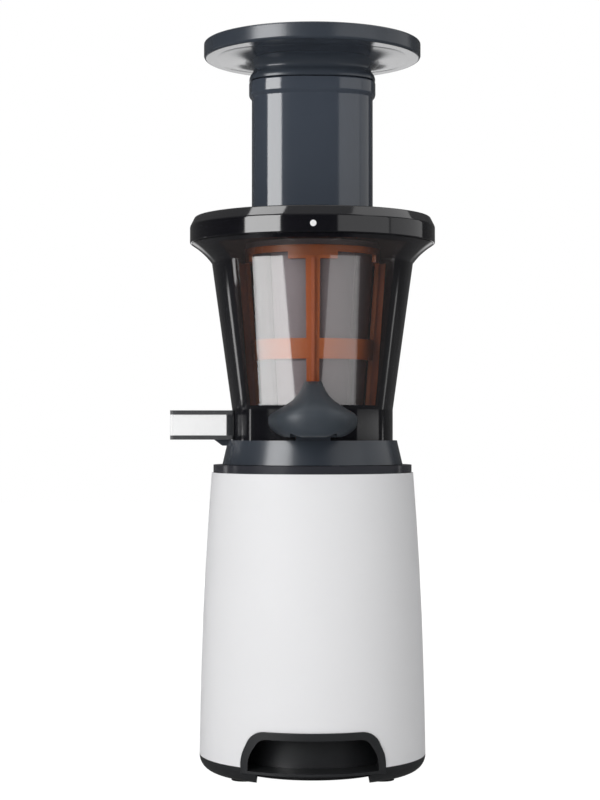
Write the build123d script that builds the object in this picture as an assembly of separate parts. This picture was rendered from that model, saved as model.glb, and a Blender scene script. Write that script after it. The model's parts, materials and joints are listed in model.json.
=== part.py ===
from build123d import *
import math
import os

# Vertical slow juicer: a round power unit with an induction motor and a two-stage gearbox, a lift-off
# bowl with a screen, an auger and a turning wiper basket, and a lid with a feed tube and a pusher.
# Origin: centre of the plane the feet stand on. +Z up, the front faces -Y, the juice spout points to -X.
# All lengths are in millimetres, all angles in degrees.

# ---------------------------------------------------------------- clearances
FLAT_GAP = 0.3          # between flat faces of pieces that lift off each other
SLIDE_GAP = 0.4         # between curved faces of pieces that move past each other
RUNNING_GAP = 0.05      # radial clearance of a shaft in its bearing
FIT_GAP = 0.1           # radial clearance of a fixed piece in its seat

# ---------------------------------------------------------------- power unit
FOOT_RADIUS = 7.0
FOOT_HEIGHT = 2.0
FOOT_INSET = 16.0        # from the shell's foot to the circle of the outer feet
FOOT_STUD_RADIUS = 2.5
FOOT_STUD_LENGTH = 4.5

TRAY_HEIGHT = 8.5
TRAY_TAPER = 5.5
TRAY_FLOOR = 2.5
TRAY_SPIGOT_HEIGHT = 5.0
TRAY_SPIGOT_WALL = 2.0

SHELL_HEIGHT = 161.0
SHELL_BOTTOM_RADIUS = 65.0
SHELL_MIDDLE_TAPER = 2.1
SHELL_TAPER = 6.9
SHELL_WALL = 2.8
SHELL_FLANGE_WIDTH = 9.0
SHELL_FLANGE_THICKNESS = 2.8

DECK_INSET = 0.9
DECK_THICKNESS = 4.5
DECK_BOSS_RADIUS = 10.0
DECK_BOSS_HEIGHT = 8.0
DECK_SCREW_INSET = 6.1
DECK_SCREW_RADIUS = 1.6
DECK_SCREW_HEAD_RADIUS = 3.0
SCREW_HEAD_HEIGHT = 2.0
DECK_POST_RADIUS = 4.5
DECK_LOCATORS = 3
DECK_LOCATOR_WALL = 2.4
DECK_LOCATOR_HEIGHT = 5.0
DECK_LOCATOR_HALF_ANGLE = 12.0

# Finger recess at the foot of the front
RECESS_BEZEL_HALF_WIDTH = 40.0
RECESS_LIFT = 5.6
RECESS_HEIGHT = 23.4
RECESS_BEZEL_CORNER = 10.0
RECESS_WALL = 4.0
RECESS_PROUD = 0.8
RECESS_DEPTH = 18.0
RECESS_BACK_WALL = 2.4
RECESS_ARCH_INSET = 9.0

# Rear: rocker switch and mains inlet
SWITCH_LIFT = 49.5
BEZEL_WIDTH = 22.0
BEZEL_LENGTH = 34.0
BEZEL_RIM = 3.0
BEZEL_DEPTH = 12.0
INLET_LIFT = 15.5
INLET_RADIUS = 6.0
INLET_BORE = 3.6
INLET_FLANGE = 2.2

# Interlock that stops the motor while the bowl is off
PIN_RADIUS = 2.2
PIN_X = 14.0
PIN_Y = 34.0
PIN_PROUD = 2.6
PIN_TRAVEL = 2.5
PIN_COLLAR_RADIUS = 3.4
PIN_COLLAR_HEIGHT = 1.5
PIN_SPRING_ROOM = 6.0
SPRING_WIRE_RADIUS = 0.35
SPRING_TURNS = 4
INTERLOCK_RADIUS = 6.0
INTERLOCK_HEIGHT = 15.0

# Electrics under the motor
BOARD_HALF_WIDTH = 18.0
BOARD_DEPTH = 42.0
BOARD_THICKNESS = 1.6
BOARD_LIFT = 7.5
BOARD_POST_RADIUS = 2.5
BOARD_MARGIN = 2.0
RELAY_LENGTH = 14.0
RELAY_HEIGHT = 12.0
TERMINAL_DEPTH = 7.0
TERMINAL_HEIGHT = 8.0
CAPACITOR_RADIUS = 9.0
CAPACITOR_HEIGHT = 19.0

BASE_SCREW_INSET = 10.5
BASE_SCREW_RADIUS = 1.6
BASE_SCREW_LENGTH = 14.0
BASE_SCREW_HEAD_RADIUS = 3.2
BASE_SCREW_HEAD_HEIGHT = 1.6
SHELL_BOSS_RADIUS = 4.0
SHELL_BOSS_HEIGHT = 18.0
VENT_SLOTS = 11
VENT_SLOT_WIDTH = 2.2
VENT_SLOT_LENGTH = 16.0
VENT_SLOT_PITCH = 4.6

# ---------------------------------------------------------------- motor and gearbox
MOTOR_POST_HEIGHT = 31.0
MOTOR_POST_RADIUS = 4.0
MOTOR_POST_CIRCLE = 31.0
MOTOR_RADIUS = 40.0
MOTOR_FRAME_WALL = 5.4
MOTOR_FRAME_PLATE = 3.0
MOTOR_LOWER_FRAME_HEIGHT = 10.0
MOTOR_UPPER_FRAME_HEIGHT = 13.0
STATOR_BORE = 21.0
STATOR_SLOTS = 12
STATOR_SLOT_DEPTH = 11.0
STATOR_SLOT_WIDTH = 5.0
WINDING_INNER_RADIUS = 24.0
WINDING_LOWER_HEIGHT = 6.0
WINDING_UPPER_HEIGHT = 8.5
ROTOR_AIR_GAP = 0.4
MOTOR_SHAFT_RADIUS = 4.0
MOTOR_BEARING_RADIUS = 8.0
MOTOR_BEARING_HEIGHT = 5.0
MOTOR_BOLT_RADIUS = 2.0
MOTOR_BOLT_CIRCLE = 36.6
FAN_RADIUS = 31.0
FAN_HEIGHT = 6.0
FAN_BLADES = 9
FAN_BLADE_THICKNESS = 1.4
FAN_HUB_RADIUS = 8.0
FAN_DISC_THICKNESS = 1.2
FAN_ROOM = 11.0

GEARBOX_DROP = 24.5     # from the deck's seat down to the gearbox cover
FIRST_MODULE = 0.8
FIRST_PINION_TEETH = 12
FIRST_WHEEL_TEETH = 50
FIRST_FACE_WIDTH = 9.0
SECOND_MODULE = 1.2
SECOND_PINION_TEETH = 12
SECOND_WHEEL_TEETH = 42
SECOND_FACE_WIDTH = 14.0
PRESSURE_ANGLE = 25.0
TOOTH_HEIGHT_FACTOR = 0.85
TOOTH_CLEARANCE_FACTOR = 0.2
BACKLASH = 0.12
GEAR_SIDE_GAP = 1.5
GEARBOX_WALL = 2.0
GEARBOX_PLATE = 3.0
GEARBOX_ROOM = 1.0
GEARBOX_EAR_RADIUS = 4.5
GEARBOX_EAR_HEIGHT = 8.0
GEARBOX_EARS = [(32.6, -6.0), (29.2, 26.0)]
GEARBOX_SCREW_RADIUS = 1.6
GEARBOX_SCREW_HEAD = 3.0
LAYSHAFT_RADIUS = 3.0
DRIVE_SHAFT_RADIUS = 6.0
DRIVE_HEX_FLATS = 8.0
DRIVE_HEX_LENGTH = 15.0
BUSH_WALL = 2.5
BUSH_LENGTH = 6.0
SHAFT_SEAL_HEIGHT = 3.0

# ---------------------------------------------------------------- bowl
BASE_RING_BOTTOM_RADIUS = 52.0
BASE_RING_TOP_RADIUS = 48.8
BASE_RING_HEIGHT = 13.7
BASE_RING_WALL = 2.4
BOWL_FLOOR = 2.5
BOWL_FLOOR_BORE = 10.5
GALLERY_HEIGHT = 17.6
GALLERY_RADIUS = 46.4
DRUM_HEIGHT = 84.4
DRUM_TOP_RADIUS = 58.1
BOWL_WALL = 2.2
COLLAR_HEIGHT = 11.0
COLLAR_RADIUS = 70.0
COLLAR_FLANGE = 2.0
NECK_RADIUS = 67.0
NECK_WALL = 3.0
NECK_HEIGHT = 10.0
WINDOW_HALF_ANGLE = 52.0

SPOUT_LENGTH = 35.1
SPOUT_HEIGHT = 16.8
SPOUT_HALF_WIDTH = 12.0
SPOUT_WALL = 2.0
SPOUT_LIFT = 0.4
GUSSET_LENGTH = 16.0
GUSSET_DROP = 3.5
GUSSET_WIDTH = 6.0

PULP_TUBE_HALF_WIDTH = 8.0
PULP_TUBE_NEAR = 12.5
PULP_TUBE_FAR = 23.0
PULP_TUBE_WALL = 1.2
PULP_DUCT_WALL = 1.5
PULP_RISER_NEAR = 37.2
PULP_RISER_HEIGHT = 16.0
NOSE_PROJECTION = 37.6
NOSE_HALF_WIDTH = 25.0
NOSE_FOOT_HALF_WIDTH = 14.9
NOSE_SPINE_HALF_WIDTH = 4.6
NOSE_LIFT = 2.0
NOSE_SHOULDER_LIFT = 16.0
NOSE_FRONT_LIFT = 13.0
NOSE_TOP_LIFT = 33.0
NOSE_WALL = 2.2

SCREEN_BOTTOM_RADIUS = 29.0
SCREEN_TOP_RADIUS = 35.5
SCREEN_THICKNESS = 0.8
SCREEN_RISE = 8.0
FRAME_PLATE_THICKNESS = 3.0
FRAME_RIM_HEIGHT = 3.0
FRAME_RIM_WIDTH = 2.4

# ---------------------------------------------------------------- auger and wiper drive
WIPER_MODULE = 1.25
SUN_TEETH = 14
IDLER_TEETH = 14
RING_TEETH = 42
WIPER_GEAR_WIDTH = 6.7
RING_BACKING = 3.6
IDLER_PIN_RADIUS = 3.0
WIPER_OFFSET = 1.4
WIPER_RIB_DEPTH = 2.4
WIPER_RIB_WIDTH = 7.3
WIPER_RIBS = 4
WIPER_BAND_LIFT = 28.4
WIPER_BAND_HEIGHT = 11.5
WIPER_LOW_BAND_HEIGHT = 6.0
WIPER_TOP_BAND_HEIGHT = 4.0
WIPER_TEE_WIDTH = 28.0
WIPER_TEE_HEIGHT = 8.0
BLADE_DEPTH = 3.6
BLADE_THICKNESS = 1.6

AUGER_JOURNAL_RADIUS = 7.2       # smaller than the roots of the sun gear
AUGER_CORE_BOTTOM = 19.0
AUGER_CORE_TOP = 11.0
AUGER_RISE = 4.0
AUGER_GAP = 0.9
FLIGHT_PITCH = 30.0
FLIGHT_THICKNESS = 4.0
FLIGHT_STEPS = 18        # sections in each turn
AUGER_NOSE = 8.0
AUGER_PIN_RADIUS = 4.0
AUGER_PIN_LENGTH = 16.0
SOCKET_WALL = 1.2

# ---------------------------------------------------------------- lid and pusher
LID_RADIUS = 70.8
LID_HEIGHT = 15.2
LID_TOP_RADIUS = 68.0
LID_BEVEL_HEIGHT = 5.5
LID_RIM_WALL = 2.6
LID_PLATE = 2.5
LID_PLUG_RADIUS = 62.4
LID_PLUG_WALL = 2.0
LID_PLUG_HEIGHT = 10.0
LID_SEAL_HEIGHT = 3.0
LID_BUSH_WALL = 2.0
LID_BOSS_WALL = 2.4
LID_BOSS_DEPTH = 12.0
LID_MARK_RADIUS = 1.75
LID_MARK_THICKNESS = 0.6
BAYONET_LUGS = 4
BAYONET_LUG_ANGLE = 16.0
BAYONET_LUG_HEIGHT = 2.4
BAYONET_LUG_DEPTH = 0.9

TUBE_HALF_WIDTH = 35.5
TUBE_HALF_DEPTH = 26.0
TUBE_SETBACK = 16.0
TUBE_WALL = 2.8
TUBE_HEIGHT = 81.0
TUBE_LIP = 1.6
TUBE_LIP_HEIGHT = 8.0
FEED_SHELF_EDGE = 10.0

PUSHER_GAP = 0.7
PUSHER_WALL = 2.4
PUSHER_FLOOR_GAP = 3.5
PUSHER_SHOULDER_HEIGHT = 8.2
PUSHER_SHOULDER_HALF_WIDTH = 37.0
PUSHER_SHOULDER_HALF_DEPTH = 27.5
PUSHER_NECK_INSET = 3.0
PUSHER_DISC_RADIUS = 63.6
PUSHER_NECK_HEIGHT = 5.6
PUSHER_DISC_THICKNESS = 9.4
PUSHER_DISC_EDGE = 4.0
PUSHER_DISC_WALL = 2.5

# ---------------------------------------------------------------- heights worked out from the sizes
TRAY_BOTTOM = FOOT_HEIGHT
TRAY_TOP = TRAY_BOTTOM + TRAY_HEIGHT
TRAY_FLOOR_TOP = TRAY_BOTTOM + TRAY_FLOOR
TRAY_BOTTOM_RADIUS = SHELL_BOTTOM_RADIUS - TRAY_TAPER
FOOT_CIRCLE = SHELL_BOTTOM_RADIUS - FOOT_INSET
BASE_SCREW_CIRCLE = SHELL_BOTTOM_RADIUS - BASE_SCREW_INSET
SHELL_TOP = TRAY_TOP + SHELL_HEIGHT
SHELL_MIDDLE_RADIUS = SHELL_BOTTOM_RADIUS - SHELL_MIDDLE_TAPER
SHELL_TOP_RADIUS = SHELL_BOTTOM_RADIUS - SHELL_TAPER
DECK_RADIUS = SHELL_TOP_RADIUS - DECK_INSET
DECK_SCREW_CIRCLE = SHELL_TOP_RADIUS - DECK_SCREW_INSET
DECK_TOP = SHELL_TOP + DECK_THICKNESS
DECK_BOSS_TOP = DECK_TOP + DECK_BOSS_HEIGHT

BASE_RING_BOTTOM = DECK_TOP + FLAT_GAP
BOWL_FLOOR_TOP = BASE_RING_BOTTOM + BASE_RING_HEIGHT
BOWL_FLOOR_UNDERSIDE = BOWL_FLOOR_TOP - BOWL_FLOOR
GALLERY_TOP = BOWL_FLOOR_TOP + GALLERY_HEIGHT
DRUM_TOP = GALLERY_TOP + DRUM_HEIGHT
COLLAR_TOP = DRUM_TOP + COLLAR_HEIGHT
NECK_TOP = COLLAR_TOP + NECK_HEIGHT

LID_BOTTOM = COLLAR_TOP + FLAT_GAP
LID_TOP = LID_BOTTOM + LID_HEIGHT
LID_PLATE_UNDERSIDE = LID_TOP - LID_PLATE

# The gearbox hangs from the deck, and the motor's stack fills the height left between its two frames.
GEARBOX_COVER_TOP = SHELL_TOP - GEARBOX_DROP
GEARBOX_COVER_BOTTOM = GEARBOX_COVER_TOP - GEARBOX_PLATE
SECOND_GEAR_TOP = GEARBOX_COVER_BOTTOM - GEAR_SIDE_GAP
SECOND_GEAR_BOTTOM = SECOND_GEAR_TOP - SECOND_FACE_WIDTH
FIRST_GEAR_TOP = SECOND_GEAR_BOTTOM - GEAR_SIDE_GAP
FIRST_GEAR_BOTTOM = FIRST_GEAR_TOP - FIRST_FACE_WIDTH
GEARBOX_FLOOR = FIRST_GEAR_BOTTOM - GEAR_SIDE_GAP
GEARBOX_BOTTOM = GEARBOX_FLOOR - GEARBOX_PLATE
MOTOR_TOP = GEARBOX_BOTTOM - FAN_ROOM
STATOR_TOP = MOTOR_TOP - MOTOR_UPPER_FRAME_HEIGHT
MOTOR_BOTTOM = TRAY_FLOOR_TOP + MOTOR_POST_HEIGHT
STATOR_BOTTOM = MOTOR_BOTTOM + MOTOR_LOWER_FRAME_HEIGHT
BOARD_BOTTOM = TRAY_FLOOR_TOP + BOARD_LIFT
BOARD_TOP = BOARD_BOTTOM + BOARD_THICKNESS

LAYSHAFT_Y = SECOND_MODULE * (SECOND_PINION_TEETH + SECOND_WHEEL_TEETH) / 2
MOTOR_Y = LAYSHAFT_Y - FIRST_MODULE * (FIRST_PINION_TEETH + FIRST_WHEEL_TEETH) / 2

WIPER_GEAR_BOTTOM = BOWL_FLOOR_TOP + 1.0
WIPER_GEAR_TOP = WIPER_GEAR_BOTTOM + WIPER_GEAR_WIDTH
IDLER_DISTANCE = WIPER_MODULE * (SUN_TEETH + IDLER_TEETH) / 2
RING_OUTER_RADIUS = WIPER_MODULE * (RING_TEETH / 2 + 1) + RING_BACKING
FRAME_PLATE_BOTTOM = WIPER_GEAR_TOP + 1.3
FRAME_PLATE_TOP = FRAME_PLATE_BOTTOM + FRAME_PLATE_THICKNESS
SCREEN_TOP = DRUM_TOP + SCREEN_RISE
WIPER_BAND_BOTTOM = GALLERY_TOP + WIPER_BAND_LIFT
AUGER_BOTTOM = FRAME_PLATE_TOP + AUGER_GAP
AUGER_TOP = DRUM_TOP + AUGER_RISE

TUBE_TOP = LID_TOP + TUBE_HEIGHT
PUSHER_BOTTOM = LID_TOP + PUSHER_FLOOR_GAP
PUSHER_SHOULDER_BOTTOM = TUBE_TOP + FLAT_GAP
PUSHER_SHOULDER_TOP = PUSHER_SHOULDER_BOTTOM + PUSHER_SHOULDER_HEIGHT
PUSHER_DISC_BOTTOM = PUSHER_SHOULDER_TOP + PUSHER_NECK_HEIGHT
PUSHER_DISC_TOP = PUSHER_DISC_BOTTOM + PUSHER_DISC_THICKNESS

RECESS_BOTTOM = TRAY_BOTTOM + RECESS_LIFT
RECESS_TOP = RECESS_BOTTOM + RECESS_HEIGHT
RECESS_BACK_RADIUS = SHELL_BOTTOM_RADIUS - RECESS_DEPTH
SWITCH_HEIGHT = TRAY_TOP + SWITCH_LIFT
INLET_HEIGHT = TRAY_TOP + INLET_LIFT

SPOUT_TIP = GALLERY_RADIUS + SPOUT_LENGTH
SPOUT_BOTTOM = BOWL_FLOOR_TOP + SPOUT_LIFT
SPOUT_TOP = SPOUT_BOTTOM + SPOUT_HEIGHT
NOSE_REACH = GALLERY_RADIUS + NOSE_PROJECTION
NOSE_BOTTOM = BOWL_FLOOR_TOP + NOSE_LIFT
NOSE_SHOULDER = BOWL_FLOOR_TOP + NOSE_SHOULDER_LIFT
NOSE_FRONT_TOP = BOWL_FLOOR_TOP + NOSE_FRONT_LIFT
NOSE_TOP = BOWL_FLOOR_TOP + NOSE_TOP_LIFT

ON_BASE = (Align.CENTER, Align.CENTER, Align.MIN)
BIG = 400.0             # larger than the whole machine, for cutting tools


# ---------------------------------------------------------------- shape helpers
def disc(radius, bottom, top, x=0.0, y=0.0):
    """Upright cylinder between two heights."""
    return Pos(x, y, bottom) * Cylinder(radius, top - bottom, align=ON_BASE)


def tube(outer, inner, bottom, top, x=0.0, y=0.0):
    """Upright hollow cylinder between two heights."""
    return disc(outer, bottom, top, x, y) - disc(inner, bottom, top, x, y)


def block(x_low, x_high, y_low, y_high, bottom, top):
    """Box between six planes."""
    size_x = x_high - x_low
    size_y = y_high - y_low
    return Pos((x_low + x_high) / 2, (y_low + y_high) / 2, bottom) * Box(size_x, size_y, top - bottom,
                                                                        align=ON_BASE)


def turned(points):
    """Solid of revolution about Z from a closed outline of (radius, height) points."""
    outline = Polyline(*[(radius, 0, height) for radius, height in points], close=True)
    return revolve(make_face(outline), Axis.Z)


def oval(half_width, half_depth, bottom, top, y=0.0):
    """Upright elliptic cylinder, wide in X and deep in Y."""
    return extrude(Pos(0, y, bottom) * Ellipse(half_width, half_depth), top - bottom)


def oval_cone(bottom_size, top_size, bottom, top, y=0.0):
    """Loft between two ellipses, each given as (half width, half depth)."""
    lower = Pos(0, y, bottom) * Ellipse(*bottom_size)
    upper = Pos(0, y, top) * Ellipse(*top_size)
    return loft([lower, upper])


def wedge(centre_angle, half_angle, bottom, top):
    """Upright prism that covers a sector about Z, for cutting."""
    half = math.radians(half_angle)
    reach = BIG / math.cos(half)
    corners = [(0, 0), (reach * math.cos(half), -reach * math.sin(half)),
               (reach * math.cos(half), reach * math.sin(half))]
    face = make_face(Polyline(*corners, close=True))
    return Rot(0, 0, centre_angle) * Pos(0, 0, bottom) * extrude(face, top - bottom)


def around(count, start_angle, radius):
    """(x, y) of evenly spaced points on a circle."""
    angles = [math.radians(start_angle + 360 * index / count) for index in range(count)]
    return [(radius * math.cos(angle), radius * math.sin(angle)) for angle in angles]


def united(solids):
    """One shape from several that touch or overlap."""
    total = solids[0]
    for solid in solids[1:]:
        total = total + solid
    return total


def slope(low_height, low_radius, high_height, high_radius, height):
    """Radius of a straight cone at a height."""
    share = (height - low_height) / (high_height - low_height)
    return low_radius + share * (high_radius - low_radius)


def shell_radius(height):
    """Outer radius of the body shell: the arc through its bottom, middle and top."""
    middle = (TRAY_TOP + SHELL_TOP) / 2
    half = (SHELL_TOP - TRAY_TOP) / 2
    share = (height - middle) / half
    lean = (SHELL_TOP_RADIUS - SHELL_BOTTOM_RADIUS) / 2
    bulge = SHELL_MIDDLE_RADIUS - (SHELL_TOP_RADIUS + SHELL_BOTTOM_RADIUS) / 2
    return (SHELL_TOP_RADIUS + SHELL_BOTTOM_RADIUS) / 2 + lean * share + bulge * (1 - share ** 2)


def screen_radius(height):
    """Outer radius of the juice screen's cone, carried on past its ends."""
    return slope(GALLERY_TOP, SCREEN_BOTTOM_RADIUS, SCREEN_TOP, SCREEN_TOP_RADIUS, height)


def drum_radius(height):
    """Outer radius of the bowl's drum."""
    return slope(GALLERY_TOP, GALLERY_RADIUS, DRUM_TOP, DRUM_TOP_RADIUS, height)


def screen_shell(inner_offset, outer_offset, bottom, top):
    """Conical layer that follows the screen at two offsets from its outer face."""
    return turned([(screen_radius(bottom) + inner_offset, bottom),
                   (screen_radius(bottom) + outer_offset, bottom),
                   (screen_radius(top) + outer_offset, top),
                   (screen_radius(top) + inner_offset, top)])


def tooth_half_angle(teeth, module, radius, side):
    """Half the angle a tooth fills at a radius; side is +1 for outside teeth and -1 for a ring's spaces."""
    pitch = module * teeth / 2
    base = pitch * math.cos(math.radians(PRESSURE_ANGLE))
    at_pitch = math.pi / (2 * teeth) - side * BACKLASH / (2 * pitch)
    pressure = math.acos(base / max(radius, base))
    involute = math.tan(pressure) - pressure
    pitch_angle = math.radians(PRESSURE_ANGLE)
    return at_pitch + math.tan(pitch_angle) - pitch_angle - involute


def toothed_face(teeth, module, phase, inner_reach, outer_reach, side):
    """Flat gear outline whose first tooth is centred at the phase angle.

    inner_reach and outer_reach are the radii where the flanks start and end.
    """
    points = []
    steps = [0.0, 0.35, 0.7, 1.0]
    for index in range(teeth):
        centre = math.radians(phase) + 2 * math.pi * index / teeth
        rising = []
        for step in steps:
            radius = inner_reach + step * (outer_reach - inner_reach)
            rising.append((radius, tooth_half_angle(teeth, module, radius, side)))
        for radius, half in rising:
            points.append((radius * math.cos(centre - half), radius * math.sin(centre - half)))
        for radius, half in reversed(rising):
            points.append((radius * math.cos(centre + half), radius * math.sin(centre + half)))
    return make_face(Polyline(*points, close=True))


def gear(teeth, module, bottom, top, phase=0.0, x=0.0, y=0.0):
    """Spur gear blank with outside teeth."""
    pitch = module * teeth / 2
    root = pitch - module * (TOOTH_HEIGHT_FACTOR + TOOTH_CLEARANCE_FACTOR)
    tip = pitch + module * TOOTH_HEIGHT_FACTOR
    face = toothed_face(teeth, module, phase, root, tip, 1)
    return Pos(x, y, bottom) * extrude(face, top - bottom)


def ring_gear(teeth, module, outer_radius, bottom, top, phase=0.0):
    """Ring with inside teeth; the first space is centred at the phase angle."""
    pitch = module * teeth / 2
    tip = pitch - module * TOOTH_HEIGHT_FACTOR
    root = pitch + module * (TOOTH_HEIGHT_FACTOR + TOOTH_CLEARANCE_FACTOR)
    face = toothed_face(teeth, module, phase, tip, root, -1)
    return disc(outer_radius, bottom, top) - Pos(0, 0, bottom) * extrude(face, top - bottom)


def meshed_phase(own_teeth, other_teeth, other_phase, direction):
    """Phase of a gear that meshes with another one lying at the direction angle behind it.

    direction points from the other gear's centre to this gear's centre.
    """
    turned_by = (other_phase - direction) * other_teeth / own_teeth
    return direction + 180 + 180 / own_teeth - turned_by


def hexagon(flats, bottom, top):
    """Hexagonal prism given by its width across flats."""
    radius = flats / math.sqrt(3)
    return extrude(Pos(0, 0, bottom) * RegularPolygon(radius, 6), top - bottom)


# ---------------------------------------------------------------- finger recess
def recess_prism(inset):
    """Prism along Y with the outline of the finger recess, smaller all round by the inset."""
    low = RECESS_BOTTOM + inset
    high = RECESS_TOP - inset
    foot = RECESS_BEZEL_HALF_WIDTH - inset
    waist = (low + RECESS_TOP) / 2
    head = foot - RECESS_BEZEL_CORNER * 0.4
    corners = [(-foot, low), (foot, low), (foot, waist), (head, high), (-head, high), (-foot, waist)]
    face = Plane.XZ * make_face(Polyline(*corners, close=True))
    top_corners = face.vertices().sort_by(Axis.Z)[-2:]
    rounded = fillet(top_corners, RECESS_BEZEL_CORNER - inset)
    return extrude(rounded, SHELL_BOTTOM_RADIUS + RECESS_WALL)


def recess_room():
    """Space that the grip recess takes out of the shell and the tray."""
    back = RECESS_BACK_RADIUS - RECESS_BACK_WALL - FIT_GAP
    return recess_prism(-FIT_GAP) - disc(back, 0, BIG)


def make_grip_recess():
    outside = recess_prism(0) & disc(SHELL_BOTTOM_RADIUS + RECESS_PROUD, 0, BIG)
    pocket = recess_prism(RECESS_WALL) - disc(RECESS_BACK_RADIUS, 0, BIG)
    return outside - pocket - disc(RECESS_BACK_RADIUS - RECESS_BACK_WALL, 0, BIG)


# ---------------------------------------------------------------- base
FOOT_ANGLES = [38, 142, 218, 322]        # the fifth foot stands in the middle
BASE_SCREW_ANGLES = [15, 165, 197, 343]


def at_angles(angles, radius):
    """(x, y) of points on a circle at chosen angles."""
    turns = [math.radians(angle) for angle in angles]
    return [(radius * math.cos(turn), radius * math.sin(turn)) for turn in turns]


def foot_places():
    """(x, y) of the middle foot and the four outer feet."""
    return [(0.0, 0.0)] + at_angles(FOOT_ANGLES, FOOT_CIRCLE)


def motor_post_places():
    """(x, y) of the four posts that carry the motor."""
    return [(x, MOTOR_Y + y) for x, y in around(4, 0, MOTOR_POST_CIRCLE)]


def board_post_places():
    """(x, y) of the four posts that carry the control board."""
    reach = BOARD_HALF_WIDTH - BOARD_POST_RADIUS
    depth = BOARD_DEPTH / 2 - BOARD_POST_RADIUS
    return [(side * reach, MOTOR_Y + end * depth) for side in (-1, 1) for end in (-1, 1)]


def spigot_radius():
    """Outer radius of the tray's spigot, which stands inside the shell's foot."""
    return shell_radius(TRAY_TOP + TRAY_SPIGOT_HEIGHT) - SHELL_WALL - FIT_GAP


def make_base_tray():
    floor_top = TRAY_FLOOR_TOP
    outer = spigot_radius()
    inner = outer - TRAY_SPIGOT_WALL
    spigot_top = TRAY_TOP + TRAY_SPIGOT_HEIGHT
    round_middle = (SHELL_BOTTOM_RADIUS - 0.25 * TRAY_TAPER, TRAY_BOTTOM + 0.4 * TRAY_HEIGHT)
    flank = ThreePointArc((TRAY_BOTTOM_RADIUS, 0, TRAY_BOTTOM), (round_middle[0], 0, round_middle[1]),
                          (SHELL_BOTTOM_RADIUS, 0, TRAY_TOP))
    inside = Polyline((SHELL_BOTTOM_RADIUS, 0, TRAY_TOP), (outer, 0, TRAY_TOP), (outer, 0, spigot_top),
                      (inner, 0, spigot_top), (inner, 0, floor_top), (0, 0, floor_top),
                      (0, 0, TRAY_BOTTOM), (TRAY_BOTTOM_RADIUS, 0, TRAY_BOTTOM))
    tray = revolve(make_face([flank, *inside.edges()]), Axis.Z)
    for x, y in motor_post_places():
        tray = tray + disc(MOTOR_POST_RADIUS, floor_top, MOTOR_BOTTOM, x, y)
    for x, y in board_post_places():
        tray = tray + disc(BOARD_POST_RADIUS, floor_top, BOARD_BOTTOM, x, y)
    tray = tray - recess_room()
    arch_half_width = RECESS_BEZEL_HALF_WIDTH - RECESS_ARCH_INSET
    arch = block(-arch_half_width, arch_half_width, -BIG, 0, 0, RECESS_BOTTOM + FIT_GAP)
    tray = tray - (arch - disc(RECESS_BACK_RADIUS - RECESS_BACK_WALL, 0, BIG))
    for x, y in foot_places():
        tray = tray - disc(FOOT_STUD_RADIUS + FIT_GAP, TRAY_BOTTOM, floor_top, x, y)
    for x, y in at_angles(BASE_SCREW_ANGLES, BASE_SCREW_CIRCLE):
        tray = tray - disc(BASE_SCREW_RADIUS + FIT_GAP, TRAY_BOTTOM, floor_top, x, y)
        tray = tray - disc(BASE_SCREW_HEAD_RADIUS + FIT_GAP, TRAY_BOTTOM,
                           TRAY_BOTTOM + BASE_SCREW_HEAD_HEIGHT, x, y)
    first = -(VENT_SLOTS - 1) / 2 * VENT_SLOT_PITCH
    slot_y = MOTOR_Y + BOARD_DEPTH / 2 + VENT_SLOT_WIDTH
    for index in range(VENT_SLOTS):
        x = first + index * VENT_SLOT_PITCH
        if abs(x) > MOTOR_POST_RADIUS + VENT_SLOT_WIDTH:
            tray = tray - block(x - VENT_SLOT_WIDTH / 2, x + VENT_SLOT_WIDTH / 2, slot_y,
                                slot_y + VENT_SLOT_LENGTH, TRAY_BOTTOM, floor_top)
    return tray


def make_rubber_feet():
    feet = []
    for x, y in foot_places():
        pad = disc(FOOT_RADIUS, 0, FOOT_HEIGHT, x, y)
        stud = disc(FOOT_STUD_RADIUS, FOOT_HEIGHT, FOOT_HEIGHT + FOOT_STUD_LENGTH, x, y)
        feet.append(pad + stud)
    return Compound(feet)


def screw(x, y, head_low, head_high, head_radius, shank_low, shank_high, shank_radius):
    """Screw with a round head; the head and the shank meet at one plane."""
    return disc(head_radius, head_low, head_high, x, y) + disc(shank_radius, shank_low, shank_high, x, y)


def make_base_screws():
    head_top = TRAY_BOTTOM + BASE_SCREW_HEAD_HEIGHT
    return Compound([screw(x, y, TRAY_BOTTOM, head_top, BASE_SCREW_HEAD_RADIUS, head_top,
                           head_top + BASE_SCREW_LENGTH, BASE_SCREW_RADIUS)
                     for x, y in at_angles(BASE_SCREW_ANGLES, BASE_SCREW_CIRCLE)])


# ---------------------------------------------------------------- shell and deck
def bezel_block(gap):
    """Space of the switch bezel, larger all round by the gap."""
    rear = shell_radius(SWITCH_HEIGHT) + RECESS_PROUD
    return block(-BEZEL_WIDTH / 2 - gap, BEZEL_WIDTH / 2 + gap, rear - BEZEL_DEPTH, rear,
                 SWITCH_HEIGHT - BEZEL_LENGTH / 2 - gap, SWITCH_HEIGHT + BEZEL_LENGTH / 2 + gap)


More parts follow.
